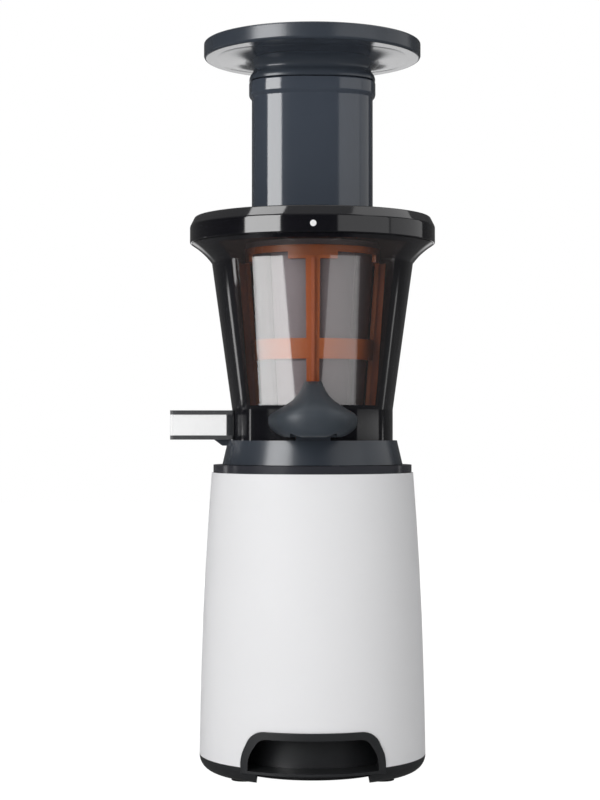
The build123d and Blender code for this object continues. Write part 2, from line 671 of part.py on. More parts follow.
def make_body_shell():
    middle = (TRAY_TOP + SHELL_TOP) / 2
    outer = ThreePointArc((SHELL_BOTTOM_RADIUS, 0, TRAY_TOP), (SHELL_MIDDLE_RADIUS, 0, middle),
                          (SHELL_TOP_RADIUS, 0, SHELL_TOP))
    inner = ThreePointArc((SHELL_TOP_RADIUS - SHELL_WALL, 0, SHELL_TOP),
                          (SHELL_MIDDLE_RADIUS - SHELL_WALL, 0, middle),
                          (SHELL_BOTTOM_RADIUS - SHELL_WALL, 0, TRAY_TOP))
    top = Line((SHELL_TOP_RADIUS, 0, SHELL_TOP), (SHELL_TOP_RADIUS - SHELL_WALL, 0, SHELL_TOP))
    foot = Line((SHELL_BOTTOM_RADIUS - SHELL_WALL, 0, TRAY_TOP), (SHELL_BOTTOM_RADIUS, 0, TRAY_TOP))
    shell = revolve(make_face([outer, top, inner, foot]), Axis.Z)
    flange_outer = SHELL_TOP_RADIUS - SHELL_WALL / 2
    flange_inner = SHELL_TOP_RADIUS - SHELL_WALL - SHELL_FLANGE_WIDTH
    shell = shell + tube(flange_outer, flange_inner, SHELL_TOP - SHELL_FLANGE_THICKNESS, SHELL_TOP)
    spigot_top = TRAY_TOP + TRAY_SPIGOT_HEIGHT
    for angle, (x, y) in zip(BASE_SCREW_ANGLES, at_angles(BASE_SCREW_ANGLES, BASE_SCREW_CIRCLE)):
        rib = Rot(0, 0, angle) * block(BASE_SCREW_CIRCLE, SHELL_BOTTOM_RADIUS - SHELL_WALL,
                                       -SHELL_BOSS_RADIUS / 2, SHELL_BOSS_RADIUS / 2,
                                       spigot_top + FLAT_GAP, spigot_top + SHELL_BOSS_HEIGHT)
        boss = disc(SHELL_BOSS_RADIUS, TRAY_FLOOR_TOP, spigot_top + SHELL_BOSS_HEIGHT, x, y)
        shell = shell + rib + boss
        shell = shell - disc(BASE_SCREW_RADIUS, TRAY_BOTTOM, TRAY_BOTTOM + BASE_SCREW_HEAD_HEIGHT
                             + BASE_SCREW_LENGTH + FLAT_GAP, x, y)
    for x, y in around(4, 45, DECK_SCREW_CIRCLE):
        shell = shell - disc(DECK_SCREW_RADIUS + FIT_GAP, SHELL_TOP - SHELL_FLANGE_THICKNESS, SHELL_TOP, x, y)
    inlet = Pos(0, shell_radius(INLET_HEIGHT), INLET_HEIGHT) * Rot(90, 0, 0) * Cylinder(
        INLET_RADIUS + FIT_GAP, 6 * SHELL_WALL)
    return shell - recess_room() - bezel_block(FIT_GAP) - inlet


def make_top_deck():
    deck = disc(DECK_RADIUS, SHELL_TOP, DECK_TOP)
    deck = deck + disc(DECK_BOSS_RADIUS, DECK_TOP, DECK_BOSS_TOP)
    rib_outer = BASE_RING_TOP_RADIUS - BASE_RING_WALL - SLIDE_GAP
    ring = tube(rib_outer, rib_outer - DECK_LOCATOR_WALL, DECK_TOP, DECK_TOP + DECK_LOCATOR_HEIGHT)
    for index in range(DECK_LOCATORS):
        angle = 90 + 360 * index / DECK_LOCATORS
        deck = deck + (ring & wedge(angle, DECK_LOCATOR_HALF_ANGLE, 0, BIG))
    for side in (-1, 1):
        for x, y in GEARBOX_EARS:
            post = disc(DECK_POST_RADIUS, GEARBOX_COVER_TOP, SHELL_TOP, side * x, y)
            deck = deck + post
            deck = deck - disc(GEARBOX_SCREW_RADIUS, GEARBOX_COVER_TOP,
                               GEARBOX_COVER_TOP + GEARBOX_EAR_HEIGHT + FLAT_GAP, side * x, y)
    for x, y in around(4, 45, DECK_SCREW_CIRCLE):
        deck = deck - disc(DECK_SCREW_RADIUS, SHELL_TOP, DECK_TOP - DECK_SCREW_RADIUS, x, y)
    deck = deck - disc(DRIVE_SHAFT_RADIUS + RUNNING_GAP + BUSH_WALL, SHELL_TOP, DECK_BOSS_TOP)
    return deck - disc(PIN_RADIUS + SLIDE_GAP, SHELL_TOP, DECK_TOP, PIN_X, PIN_Y)


def make_deck_screws():
    head_top = SHELL_TOP - SHELL_FLANGE_THICKNESS
    tip = DECK_TOP - 2 * DECK_SCREW_RADIUS
    return Compound([screw(x, y, head_top - SCREW_HEAD_HEIGHT, head_top, DECK_SCREW_HEAD_RADIUS,
                           head_top, tip, DECK_SCREW_RADIUS) for x, y in around(4, 45, DECK_SCREW_CIRCLE)])


def make_shaft_seal():
    """Lip seal round the drive shaft at the top of the deck's boss."""
    outer = DRIVE_SHAFT_RADIUS + RUNNING_GAP + BUSH_WALL
    return tube(outer, DRIVE_SHAFT_RADIUS + RUNNING_GAP, DECK_BOSS_TOP - SHAFT_SEAL_HEIGHT, DECK_BOSS_TOP)


# ---------------------------------------------------------------- switch and mains inlet
ROCKER_AXLE_RADIUS = 1.2
ROCKER_AXLE_INSET = 5.0
ROCKER_SIDE_GAP = 0.5
ROCKER_THICKNESS = 4.4
ROCKER_CHEST = 2.0


def make_switch_bezel():
    rear = shell_radius(SWITCH_HEIGHT) + RECESS_PROUD
    half_width = BEZEL_WIDTH / 2 - BEZEL_RIM
    half_height = BEZEL_LENGTH / 2 - BEZEL_RIM
    cavity = block(-half_width, half_width, rear - BEZEL_DEPTH + BEZEL_RIM, BIG,
                   SWITCH_HEIGHT - half_height, SWITCH_HEIGHT + half_height)
    axle = Pos(0, rear - ROCKER_AXLE_INSET, SWITCH_HEIGHT) * Rot(0, 90, 0) * Cylinder(
        ROCKER_AXLE_RADIUS + RUNNING_GAP, BEZEL_WIDTH - BEZEL_RIM)
    return bezel_block(0) - cavity - axle


def make_rocker():
    rear = shell_radius(SWITCH_HEIGHT) + RECESS_PROUD
    half_width = BEZEL_WIDTH / 2 - BEZEL_RIM - ROCKER_SIDE_GAP
    half_height = BEZEL_LENGTH / 2 - BEZEL_RIM - 3 * ROCKER_SIDE_GAP
    front = rear - ROCKER_AXLE_INSET
    body = block(-half_width, half_width, front, front + ROCKER_THICKNESS,
                 SWITCH_HEIGHT - half_height, SWITCH_HEIGHT + half_height)
    hub = Pos(0, front, SWITCH_HEIGHT) * Rot(0, 90, 0) * Cylinder(2 * ROCKER_AXLE_RADIUS, 2 * half_width)
    axle = Pos(0, front, SWITCH_HEIGHT) * Rot(0, 90, 0) * Cylinder(
        ROCKER_AXLE_RADIUS, BEZEL_WIDTH - BEZEL_RIM - ROCKER_SIDE_GAP)
    dish = Pos(0, front + ROCKER_THICKNESS + BEZEL_LENGTH, SWITCH_HEIGHT) * Rot(0, 90, 0) * Cylinder(
        BEZEL_LENGTH + ROCKER_CHEST / 2, 3 * half_width)
    return body + hub + axle - dish


def make_inlet_grommet():
    rear = shell_radius(INLET_HEIGHT - INLET_RADIUS - INLET_FLANGE)
    body = Pos(0, rear - SHELL_WALL, INLET_HEIGHT) * Rot(90, 0, 0) * Cylinder(INLET_RADIUS, 4 * SHELL_WALL)
    collar = Pos(0, rear + INLET_FLANGE / 2, INLET_HEIGHT) * Rot(90, 0, 0) * Cylinder(
        INLET_RADIUS + INLET_FLANGE, INLET_FLANGE)
    inner_collar = Pos(0, rear - 2 * SHELL_WALL, INLET_HEIGHT) * Rot(90, 0, 0) * Cylinder(
        INLET_RADIUS + INLET_FLANGE, INLET_FLANGE)
    bore = Pos(0, rear, INLET_HEIGHT) * Rot(90, 0, 0) * Cylinder(INLET_BORE, 12 * SHELL_WALL)
    return body + collar + inner_collar - bore


# ---------------------------------------------------------------- interlock
def pin_top():
    return DECK_TOP + PIN_PROUD


def collar_top():
    return SHELL_TOP - FLAT_GAP


def collar_bottom():
    return collar_top() - PIN_COLLAR_HEIGHT


def spring_bottom():
    return collar_bottom() - PIN_SPRING_ROOM


def make_interlock_pin():
    stem = disc(PIN_RADIUS, collar_bottom(), pin_top(), PIN_X, PIN_Y)
    return stem + disc(PIN_COLLAR_RADIUS, collar_bottom(), collar_top(), PIN_X, PIN_Y)


def make_interlock_switch():
    bottom = SHELL_TOP - INTERLOCK_HEIGHT
    room = PIN_COLLAR_RADIUS + SLIDE_GAP
    case = disc(INTERLOCK_RADIUS, bottom, SHELL_TOP, PIN_X, PIN_Y)
    return case - disc(room, spring_bottom() - SPRING_WIRE_RADIUS, SHELL_TOP, PIN_X, PIN_Y)


def make_interlock_spring():
    height = PIN_SPRING_ROOM - 2 * SPRING_WIRE_RADIUS
    coil_radius = PIN_COLLAR_RADIUS - SPRING_WIRE_RADIUS - FIT_GAP
    path = Helix(pitch=height / SPRING_TURNS, height=height, radius=coil_radius)
    section = Plane(origin=path @ 0, z_dir=path % 0) * Circle(SPRING_WIRE_RADIUS)
    coil = sweep(section, path=path, is_frenet=True)
    return Pos(PIN_X, PIN_Y, spring_bottom() + SPRING_WIRE_RADIUS) * coil


# ---------------------------------------------------------------- electrics
def make_control_board():
    board = block(-BOARD_HALF_WIDTH, BOARD_HALF_WIDTH, MOTOR_Y - BOARD_DEPTH / 2, MOTOR_Y + BOARD_DEPTH / 2,
                  BOARD_BOTTOM, BOARD_TOP)
    relay = block(-RELAY_LENGTH, -BOARD_MARGIN, MOTOR_Y - RELAY_LENGTH, MOTOR_Y,
                  BOARD_TOP, BOARD_TOP + RELAY_HEIGHT)
    far_side = MOTOR_Y + BOARD_DEPTH / 2 - 2 * BOARD_MARGIN
    terminal = block(-RELAY_LENGTH, RELAY_LENGTH / 2, far_side - TERMINAL_DEPTH, far_side,
                     BOARD_TOP, BOARD_TOP + TERMINAL_HEIGHT)
    return board + relay + terminal


def make_run_capacitor():
    return disc(CAPACITOR_RADIUS, BOARD_TOP, BOARD_TOP + CAPACITOR_HEIGHT, BOARD_HALF_WIDTH / 2,
                MOTOR_Y - BOARD_MARGIN)


# ---------------------------------------------------------------- motor
def motor_bolt_places():
    """(x, y) of the four long bolts that hold the motor under the gearbox."""
    return [(x, MOTOR_Y + y) for x, y in around(4, 45, MOTOR_BOLT_CIRCLE)]


def bearing_seat(low, high):
    """Ring that holds a motor bearing."""
    return tube(MOTOR_BEARING_RADIUS + MOTOR_FRAME_PLATE, MOTOR_BEARING_RADIUS, low, high, 0, MOTOR_Y)


def less_bolts(solid, low, high):
    """The solid with clearance holes for the motor bolts."""
    for x, y in motor_bolt_places():
        solid = solid - disc(MOTOR_BOLT_RADIUS + FIT_GAP, low, high, x, y)
    return solid


def make_motor_lower_frame():
    plate_top = MOTOR_BOTTOM + MOTOR_FRAME_PLATE
    wall = tube(MOTOR_RADIUS, MOTOR_RADIUS - MOTOR_FRAME_WALL, plate_top, STATOR_BOTTOM, 0, MOTOR_Y)
    frame = disc(MOTOR_RADIUS, MOTOR_BOTTOM, plate_top, 0, MOTOR_Y) + wall
    frame = frame + bearing_seat(plate_top, plate_top + MOTOR_BEARING_HEIGHT)
    return less_bolts(frame, MOTOR_BOTTOM, STATOR_BOTTOM)


def make_motor_upper_frame():
    plate_bottom = MOTOR_TOP - MOTOR_FRAME_PLATE
    wall = tube(MOTOR_RADIUS, MOTOR_RADIUS - MOTOR_FRAME_WALL, STATOR_TOP, plate_bottom, 0, MOTOR_Y)
    frame = disc(MOTOR_RADIUS, plate_bottom, MOTOR_TOP, 0, MOTOR_Y) + wall
    frame = frame + bearing_seat(plate_bottom - MOTOR_BEARING_HEIGHT, plate_bottom)
    frame = frame - disc(MOTOR_SHAFT_RADIUS + SLIDE_GAP, plate_bottom, MOTOR_TOP, 0, MOTOR_Y)
    return less_bolts(frame, STATOR_TOP, MOTOR_TOP)


def make_motor_bearings():
    lower = MOTOR_BOTTOM + MOTOR_FRAME_PLATE
    upper = MOTOR_TOP - MOTOR_FRAME_PLATE - MOTOR_BEARING_HEIGHT
    bore = MOTOR_SHAFT_RADIUS + RUNNING_GAP
    return Compound([tube(MOTOR_BEARING_RADIUS, bore, low, low + MOTOR_BEARING_HEIGHT, 0, MOTOR_Y)
                     for low in (lower, upper)])


def make_motor_stator():
    stack = tube(MOTOR_RADIUS, STATOR_BORE, STATOR_BOTTOM, STATOR_TOP, 0, MOTOR_Y)
    slot = block(STATOR_BORE - STATOR_SLOT_WIDTH, STATOR_BORE + STATOR_SLOT_DEPTH,
                 -STATOR_SLOT_WIDTH / 2, STATOR_SLOT_WIDTH / 2, STATOR_BOTTOM, STATOR_TOP)
    for index in range(STATOR_SLOTS):
        stack = stack - Pos(0, MOTOR_Y) * Rot(0, 0, 360 * index / STATOR_SLOTS) * slot
    return less_bolts(stack, STATOR_BOTTOM, STATOR_TOP)


def make_motor_windings():
    outer = MOTOR_RADIUS - MOTOR_FRAME_WALL - 2 * FLAT_GAP
    lower = tube(outer, WINDING_INNER_RADIUS, STATOR_BOTTOM - WINDING_LOWER_HEIGHT, STATOR_BOTTOM, 0, MOTOR_Y)
    upper = tube(outer, WINDING_INNER_RADIUS, STATOR_TOP, STATOR_TOP + WINDING_UPPER_HEIGHT, 0, MOTOR_Y)
    coils = lower + upper
    bar = block(STATOR_BORE + 3 * FIT_GAP + STATOR_SLOT_WIDTH, STATOR_BORE + STATOR_SLOT_DEPTH - FIT_GAP,
                -STATOR_SLOT_WIDTH / 2 + FIT_GAP, STATOR_SLOT_WIDTH / 2 - FIT_GAP, STATOR_BOTTOM, STATOR_TOP)
    for index in range(STATOR_SLOTS):
        coils = coils + Pos(0, MOTOR_Y) * Rot(0, 0, 360 * index / STATOR_SLOTS) * bar
    return coils


def make_motor_bolts():
    low = MOTOR_BOTTOM - SCREW_HEAD_HEIGHT
    return Compound([screw(x, y, low, MOTOR_BOTTOM, 2 * MOTOR_BOLT_RADIUS, MOTOR_BOTTOM,
                           GEARBOX_FLOOR, MOTOR_BOLT_RADIUS) for x, y in motor_bolt_places()])


def first_pinion_phase():
    """The pinion's first tooth points at the layshaft, which lies behind the motor."""
    return 90.0


def lay_wheel_phase():
    return meshed_phase(FIRST_WHEEL_TEETH, FIRST_PINION_TEETH, first_pinion_phase(), 90.0)


def lay_pinion_phase():
    """The second pinion's first tooth points forward, at the output wheel."""
    return 270.0


def output_wheel_phase():
    return meshed_phase(SECOND_WHEEL_TEETH, SECOND_PINION_TEETH, lay_pinion_phase(), 270.0)


def make_motor_shaft():
    foot = MOTOR_BOTTOM + MOTOR_FRAME_PLATE + FLAT_GAP
    shaft = disc(MOTOR_SHAFT_RADIUS, foot, FIRST_GEAR_BOTTOM, 0, MOTOR_Y)
    return shaft + gear(FIRST_PINION_TEETH, FIRST_MODULE, FIRST_GEAR_BOTTOM, FIRST_GEAR_TOP,
                        first_pinion_phase(), 0, MOTOR_Y)


def make_rotor_core():
    return tube(STATOR_BORE - ROTOR_AIR_GAP, MOTOR_SHAFT_RADIUS, STATOR_BOTTOM + ROTOR_AIR_GAP,
                STATOR_TOP - ROTOR_AIR_GAP, 0, MOTOR_Y)


def make_cooling_fan():
    low = MOTOR_TOP + (FAN_ROOM - FAN_HEIGHT) / 2
    fan = tube(FAN_RADIUS, MOTOR_SHAFT_RADIUS, low, low + FAN_DISC_THICKNESS)
    fan = fan + tube(FAN_HUB_RADIUS, MOTOR_SHAFT_RADIUS, low, low + FAN_HEIGHT)
    blade = block(FAN_HUB_RADIUS - FIT_GAP, FAN_RADIUS - FAN_BLADE_THICKNESS, -FAN_BLADE_THICKNESS / 2,
                  FAN_BLADE_THICKNESS / 2, low + FAN_DISC_THICKNESS, low + FAN_HEIGHT)
    for index in range(FAN_BLADES):
        fan = fan + Rot(0, 0, 360 * index / FAN_BLADES) * blade
    return Pos(0, MOTOR_Y) * fan


# ---------------------------------------------------------------- gearbox
def gearbox_outline(margin):
    """Flat outline round the output wheel and the layshaft wheel, with a margin beyond their tips."""
    output_tip = SECOND_MODULE * (SECOND_WHEEL_TEETH / 2 + TOOTH_HEIGHT_FACTOR)
    lay_tip = FIRST_MODULE * (FIRST_WHEEL_TEETH / 2 + TOOTH_HEIGHT_FACTOR)
    circles = Circle(output_tip + margin).edges() + (Pos(0, LAYSHAFT_Y) * Circle(lay_tip + margin)).edges()
    return make_hull(circles)


def ear_places():
    """(x, y) of the screws that hold the gearbox under the deck."""
    return [(side * x, y) for side in (-1, 1) for x, y in GEARBOX_EARS]


def gearbox_slab(margin, low, high):
    return extrude(Pos(0, 0, low) * gearbox_outline(margin), high - low)


def gearbox_ears(low, high):
    """Ears beside the housing, joined to it, with their screw holes still to come."""
    ears = []
    for x, y in ear_places():
        inward = -GEARBOX_EAR_RADIUS if x > 0 else GEARBOX_EAR_RADIUS
        ears.append(disc(GEARBOX_EAR_RADIUS, low, high, x, y))
        ears.append(block(min(x, x + inward), max(x, x + inward), y - GEARBOX_EAR_RADIUS,
                          y + GEARBOX_EAR_RADIUS, low, high))
    return ears


def make_gearbox_housing():
    wall = GEARBOX_ROOM + GEARBOX_WALL
    housing = gearbox_slab(wall, GEARBOX_BOTTOM, GEARBOX_COVER_BOTTOM)
    housing = united([housing] + gearbox_ears(GEARBOX_COVER_BOTTOM - GEARBOX_EAR_HEIGHT,
                                              GEARBOX_COVER_BOTTOM))
    housing = housing + disc(MOTOR_RADIUS, GEARBOX_BOTTOM, GEARBOX_FLOOR, 0, MOTOR_Y)
    for x, y in motor_bolt_places():
        housing = housing + disc(MOTOR_POST_RADIUS - FIT_GAP, MOTOR_TOP, GEARBOX_BOTTOM, x, y)
    housing = housing - gearbox_slab(GEARBOX_ROOM, GEARBOX_FLOOR, GEARBOX_COVER_BOTTOM)
    for x, y in ear_places():
        housing = housing - disc(GEARBOX_SCREW_RADIUS + FIT_GAP, GEARBOX_BOTTOM, GEARBOX_COVER_BOTTOM, x, y)
    pinion_tip = FIRST_MODULE * (FIRST_PINION_TEETH / 2 + 1)
    housing = housing - disc(pinion_tip + SLIDE_GAP, GEARBOX_BOTTOM, GEARBOX_FLOOR, 0, MOTOR_Y)
    housing = housing - disc(LAYSHAFT_RADIUS + RUNNING_GAP, GEARBOX_BOTTOM, GEARBOX_FLOOR, 0, LAYSHAFT_Y)
    return less_bolts(housing, MOTOR_TOP, GEARBOX_FLOOR)


def make_gearbox_cover():
    cover = gearbox_slab(GEARBOX_ROOM + GEARBOX_WALL, GEARBOX_COVER_BOTTOM, GEARBOX_COVER_TOP)
    cover = united([cover] + gearbox_ears(GEARBOX_COVER_BOTTOM, GEARBOX_COVER_TOP))
    bush_outer = DRIVE_SHAFT_RADIUS + RUNNING_GAP + BUSH_WALL
    cover = cover + disc(bush_outer + GEARBOX_WALL, GEARBOX_COVER_TOP, GEARBOX_COVER_BOTTOM + BUSH_LENGTH)
    for x, y in ear_places():
        cover = cover - disc(GEARBOX_SCREW_RADIUS + FIT_GAP, GEARBOX_COVER_BOTTOM, GEARBOX_COVER_TOP, x, y)
    cover = cover - disc(bush_outer, GEARBOX_COVER_BOTTOM, GEARBOX_COVER_BOTTOM + BUSH_LENGTH)
    return cover - disc(LAYSHAFT_RADIUS + RUNNING_GAP, GEARBOX_COVER_BOTTOM, GEARBOX_COVER_TOP, 0, LAYSHAFT_Y)


def make_gearbox_screws():
    head_top = GEARBOX_COVER_BOTTOM - GEARBOX_EAR_HEIGHT
    tip = GEARBOX_COVER_TOP + GEARBOX_EAR_HEIGHT
    return Compound([screw(x, y, head_top - SCREW_HEAD_HEIGHT, head_top, GEARBOX_SCREW_HEAD,
                           head_top, tip, GEARBOX_SCREW_RADIUS) for x, y in ear_places()])


def make_output_bushes():
    """Two plain bushes for the drive shaft: one in the gearbox cover and one in the deck."""
    bore = DRIVE_SHAFT_RADIUS + RUNNING_GAP
    lower = tube(bore + BUSH_WALL, bore, GEARBOX_COVER_BOTTOM, GEARBOX_COVER_BOTTOM + BUSH_LENGTH)
    upper = tube(bore + BUSH_WALL, bore, SHELL_TOP, SHELL_TOP + BUSH_LENGTH)
    return Compound([lower, upper])


def make_layshaft():
    return disc(LAYSHAFT_RADIUS, GEARBOX_BOTTOM, GEARBOX_COVER_TOP, 0, LAYSHAFT_Y)


def make_lay_gear():
    wheel = gear(FIRST_WHEEL_TEETH, FIRST_MODULE, FIRST_GEAR_BOTTOM, FIRST_GEAR_TOP, lay_wheel_phase(),
                 0, LAYSHAFT_Y)
    neck_radius = SECOND_MODULE * (SECOND_PINION_TEETH / 2 - 1)
    neck = disc(neck_radius, FIRST_GEAR_TOP, SECOND_GEAR_BOTTOM, 0, LAYSHAFT_Y)
    pinion = gear(SECOND_PINION_TEETH, SECOND_MODULE, SECOND_GEAR_BOTTOM, SECOND_GEAR_TOP,
                  lay_pinion_phase(), 0, LAYSHAFT_Y)
    return wheel + neck + pinion - disc(LAYSHAFT_RADIUS, GEARBOX_BOTTOM, GEARBOX_COVER_TOP, 0, LAYSHAFT_Y)


def make_output_gear():
    wheel = gear(SECOND_WHEEL_TEETH, SECOND_MODULE, SECOND_GEAR_BOTTOM, SECOND_GEAR_TOP, output_wheel_phase())
    return wheel - disc(DRIVE_SHAFT_RADIUS, SECOND_GEAR_BOTTOM, SECOND_GEAR_TOP)


def make_drive_shaft():
    shaft = disc(DRIVE_SHAFT_RADIUS, SECOND_GEAR_BOTTOM, DECK_BOSS_TOP)
    return shaft + hexagon(DRIVE_HEX_FLATS, DECK_BOSS_TOP, DECK_BOSS_TOP + DRIVE_HEX_LENGTH)


# ---------------------------------------------------------------- bowl
def bowl_shell():
    """Whole wall of the bowl: gallery, drum, flared collar and neck."""
    collar_middle = (slope(DRUM_TOP, DRUM_TOP_RADIUS, COLLAR_TOP, COLLAR_RADIUS, DRUM_TOP
                           + COLLAR_HEIGHT * 0.4) - BOWL_WALL / 2, DRUM_TOP + COLLAR_HEIGHT * 0.4)
    neck_inner = NECK_RADIUS - NECK_WALL
    inner_collar_top = COLLAR_TOP - COLLAR_FLANGE
    wall_outside = Polyline((GALLERY_RADIUS, 0, BOWL_FLOOR_TOP), (GALLERY_RADIUS, 0, GALLERY_TOP),
                            (DRUM_TOP_RADIUS, 0, DRUM_TOP))
    collar = ThreePointArc((DRUM_TOP_RADIUS, 0, DRUM_TOP), (collar_middle[0], 0, collar_middle[1]),
                           (COLLAR_RADIUS, 0, COLLAR_TOP))
    rest = Polyline((COLLAR_RADIUS, 0, COLLAR_TOP), (NECK_RADIUS, 0, COLLAR_TOP), (NECK_RADIUS, 0, NECK_TOP),
                    (neck_inner, 0, NECK_TOP), (neck_inner, 0, inner_collar_top),
                    (DRUM_TOP_RADIUS - BOWL_WALL, 0, DRUM_TOP), (GALLERY_RADIUS - BOWL_WALL, 0, GALLERY_TOP),
                    (GALLERY_RADIUS - BOWL_WALL, 0, BOWL_FLOOR_TOP), (GALLERY_RADIUS, 0, BOWL_FLOOR_TOP))
    return revolve(make_face([*wall_outside.edges(), collar, *rest.edges()]), Axis.Z)


def window_room():
    """Sector of the bowl wall that is clear: from above the gallery up to the flange, at the front."""
    return wedge(270, WINDOW_HALF_ANGLE, GALLERY_TOP + BOWL_WALL, COLLAR_TOP - COLLAR_FLANGE)


def riser_half_width():
    return PULP_TUBE_HALF_WIDTH + FIT_GAP + PULP_DUCT_WALL


def riser_top():
    return BOWL_FLOOR_TOP + PULP_RISER_HEIGHT


def make_bowl():
    bowl = bowl_shell() - window_room()
    lug_ring = tube(NECK_RADIUS + BAYONET_LUG_DEPTH, NECK_RADIUS - NECK_WALL / 2,
                    NECK_TOP - 2 * BAYONET_LUG_HEIGHT, NECK_TOP - BAYONET_LUG_HEIGHT)
    for index in range(BAYONET_LUGS):
        bowl = bowl + (lug_ring & wedge(360 * index / BAYONET_LUGS, BAYONET_LUG_ANGLE / 2, 0, BIG))
    spout_hole = block(-BIG, 0, -SPOUT_HALF_WIDTH + SPOUT_WALL, SPOUT_HALF_WIDTH - SPOUT_WALL,
                       SPOUT_BOTTOM + SPOUT_WALL, SPOUT_TOP - SPOUT_WALL)
    riser_hole = block(-riser_half_width() - FIT_GAP, riser_half_width() + FIT_GAP, -BIG, 0,
                       BOWL_FLOOR_TOP, riser_top() + FIT_GAP)
    return bowl - spout_hole - riser_hole


def make_bowl_window():
    return bowl_shell() & window_room()


def pulp_tube_block(gap, bottom, top):
    """Box of the pulp tube that hangs from the screen frame, larger all round by the gap."""
    return block(-PULP_TUBE_HALF_WIDTH - gap, PULP_TUBE_HALF_WIDTH + gap, -PULP_TUBE_FAR - gap,
                 -PULP_TUBE_NEAR + gap, bottom, top)


def make_bowl_base():
    outer_floor = slope(BASE_RING_BOTTOM, BASE_RING_BOTTOM_RADIUS, BOWL_FLOOR_TOP, BASE_RING_TOP_RADIUS,
                        BOWL_FLOOR_UNDERSIDE)
    base = turned([(BASE_RING_BOTTOM_RADIUS, BASE_RING_BOTTOM), (BASE_RING_TOP_RADIUS, BOWL_FLOOR_TOP),
                   (BOWL_FLOOR_BORE, BOWL_FLOOR_TOP), (BOWL_FLOOR_BORE, BOWL_FLOOR_UNDERSIDE),
                   (outer_floor - BASE_RING_WALL, BOWL_FLOOR_UNDERSIDE),
                   (BASE_RING_BOTTOM_RADIUS - BASE_RING_WALL, BASE_RING_BOTTOM)])
    duct_bottom = BASE_RING_BOTTOM + FLAT_GAP + PULP_DUCT_WALL / 2
    half = riser_half_width()
    inner_half = half - PULP_DUCT_WALL
    skirt_inside = outer_floor - BASE_RING_WALL
    near = -PULP_TUBE_NEAR + FIT_GAP
    duct = block(-half, half, -skirt_inside, near + PULP_DUCT_WALL, duct_bottom, BOWL_FLOOR_UNDERSIDE)
    duct_bore = block(-inner_half, inner_half, -skirt_inside + 2 * PULP_DUCT_WALL, near,
                      duct_bottom + PULP_DUCT_WALL, BOWL_FLOOR_UNDERSIDE)
    riser_inner_near = -PULP_RISER_NEAR - PULP_DUCT_WALL
    riser = block(-half, half, -GALLERY_RADIUS - PULP_DUCT_WALL, -PULP_RISER_NEAR, BOWL_FLOOR_TOP,
                  riser_top())
    riser_bore = block(-inner_half, inner_half, -GALLERY_RADIUS + PULP_DUCT_WALL, riser_inner_near,
                       BOWL_FLOOR_UNDERSIDE, riser_top() - PULP_DUCT_WALL)
    outlet = block(-inner_half, inner_half, -BIG, riser_inner_near,
                   BOWL_FLOOR_TOP + NOSE_LIFT + NOSE_WALL, riser_top() - PULP_DUCT_WALL)
    base = base + duct + riser
    base = base - duct_bore - riser_bore - outlet - pulp_tube_block(FIT_GAP, duct_bottom + PULP_DUCT_WALL,
                                                                    BOWL_FLOOR_TOP)
    gusset = Plane.XZ * make_face(Polyline((-SPOUT_TIP / 2 - GUSSET_LENGTH, SPOUT_BOTTOM),
                                           (-SPOUT_TIP / 2, SPOUT_BOTTOM),
                                           (-SPOUT_TIP / 2, SPOUT_BOTTOM - GUSSET_DROP),
                                           (-BASE_RING_BOTTOM_RADIUS, SPOUT_BOTTOM - GUSSET_DROP),
                                           close=True))
    gusset = extrude(gusset, GUSSET_WIDTH / 2, both=True)
    base = base + (gusset - disc(skirt_inside, 0, BIG) - disc(GALLERY_RADIUS, BOWL_FLOOR_TOP, BIG))
    lug = block(PIN_X - PIN_RADIUS, PIN_X + PIN_RADIUS, PIN_Y + 3 * PIN_RADIUS, PIN_Y + 5 * PIN_RADIUS,
                DECK_TOP + PIN_PROUD - PIN_TRAVEL + FLAT_GAP, BOWL_FLOOR_UNDERSIDE)
    return base + (lug & disc(skirt_inside, 0, BIG))


def make_bowl_seal():
    """Lip seal between the bowl floor and the auger's journal."""
    return tube(BOWL_FLOOR_BORE, AUGER_JOURNAL_RADIUS + RUNNING_GAP, BOWL_FLOOR_UNDERSIDE, BOWL_FLOOR_TOP)


def make_juice_spout():
    box = block(-SPOUT_TIP, 0, -SPOUT_HALF_WIDTH, SPOUT_HALF_WIDTH, SPOUT_BOTTOM, SPOUT_TOP)
    bore = block(-BIG, 0, -SPOUT_HALF_WIDTH + SPOUT_WALL, SPOUT_HALF_WIDTH - SPOUT_WALL,
                 SPOUT_BOTTOM + SPOUT_WALL, SPOUT_TOP - SPOUT_WALL)
    return box - bore - disc(GALLERY_RADIUS, 0, BIG)


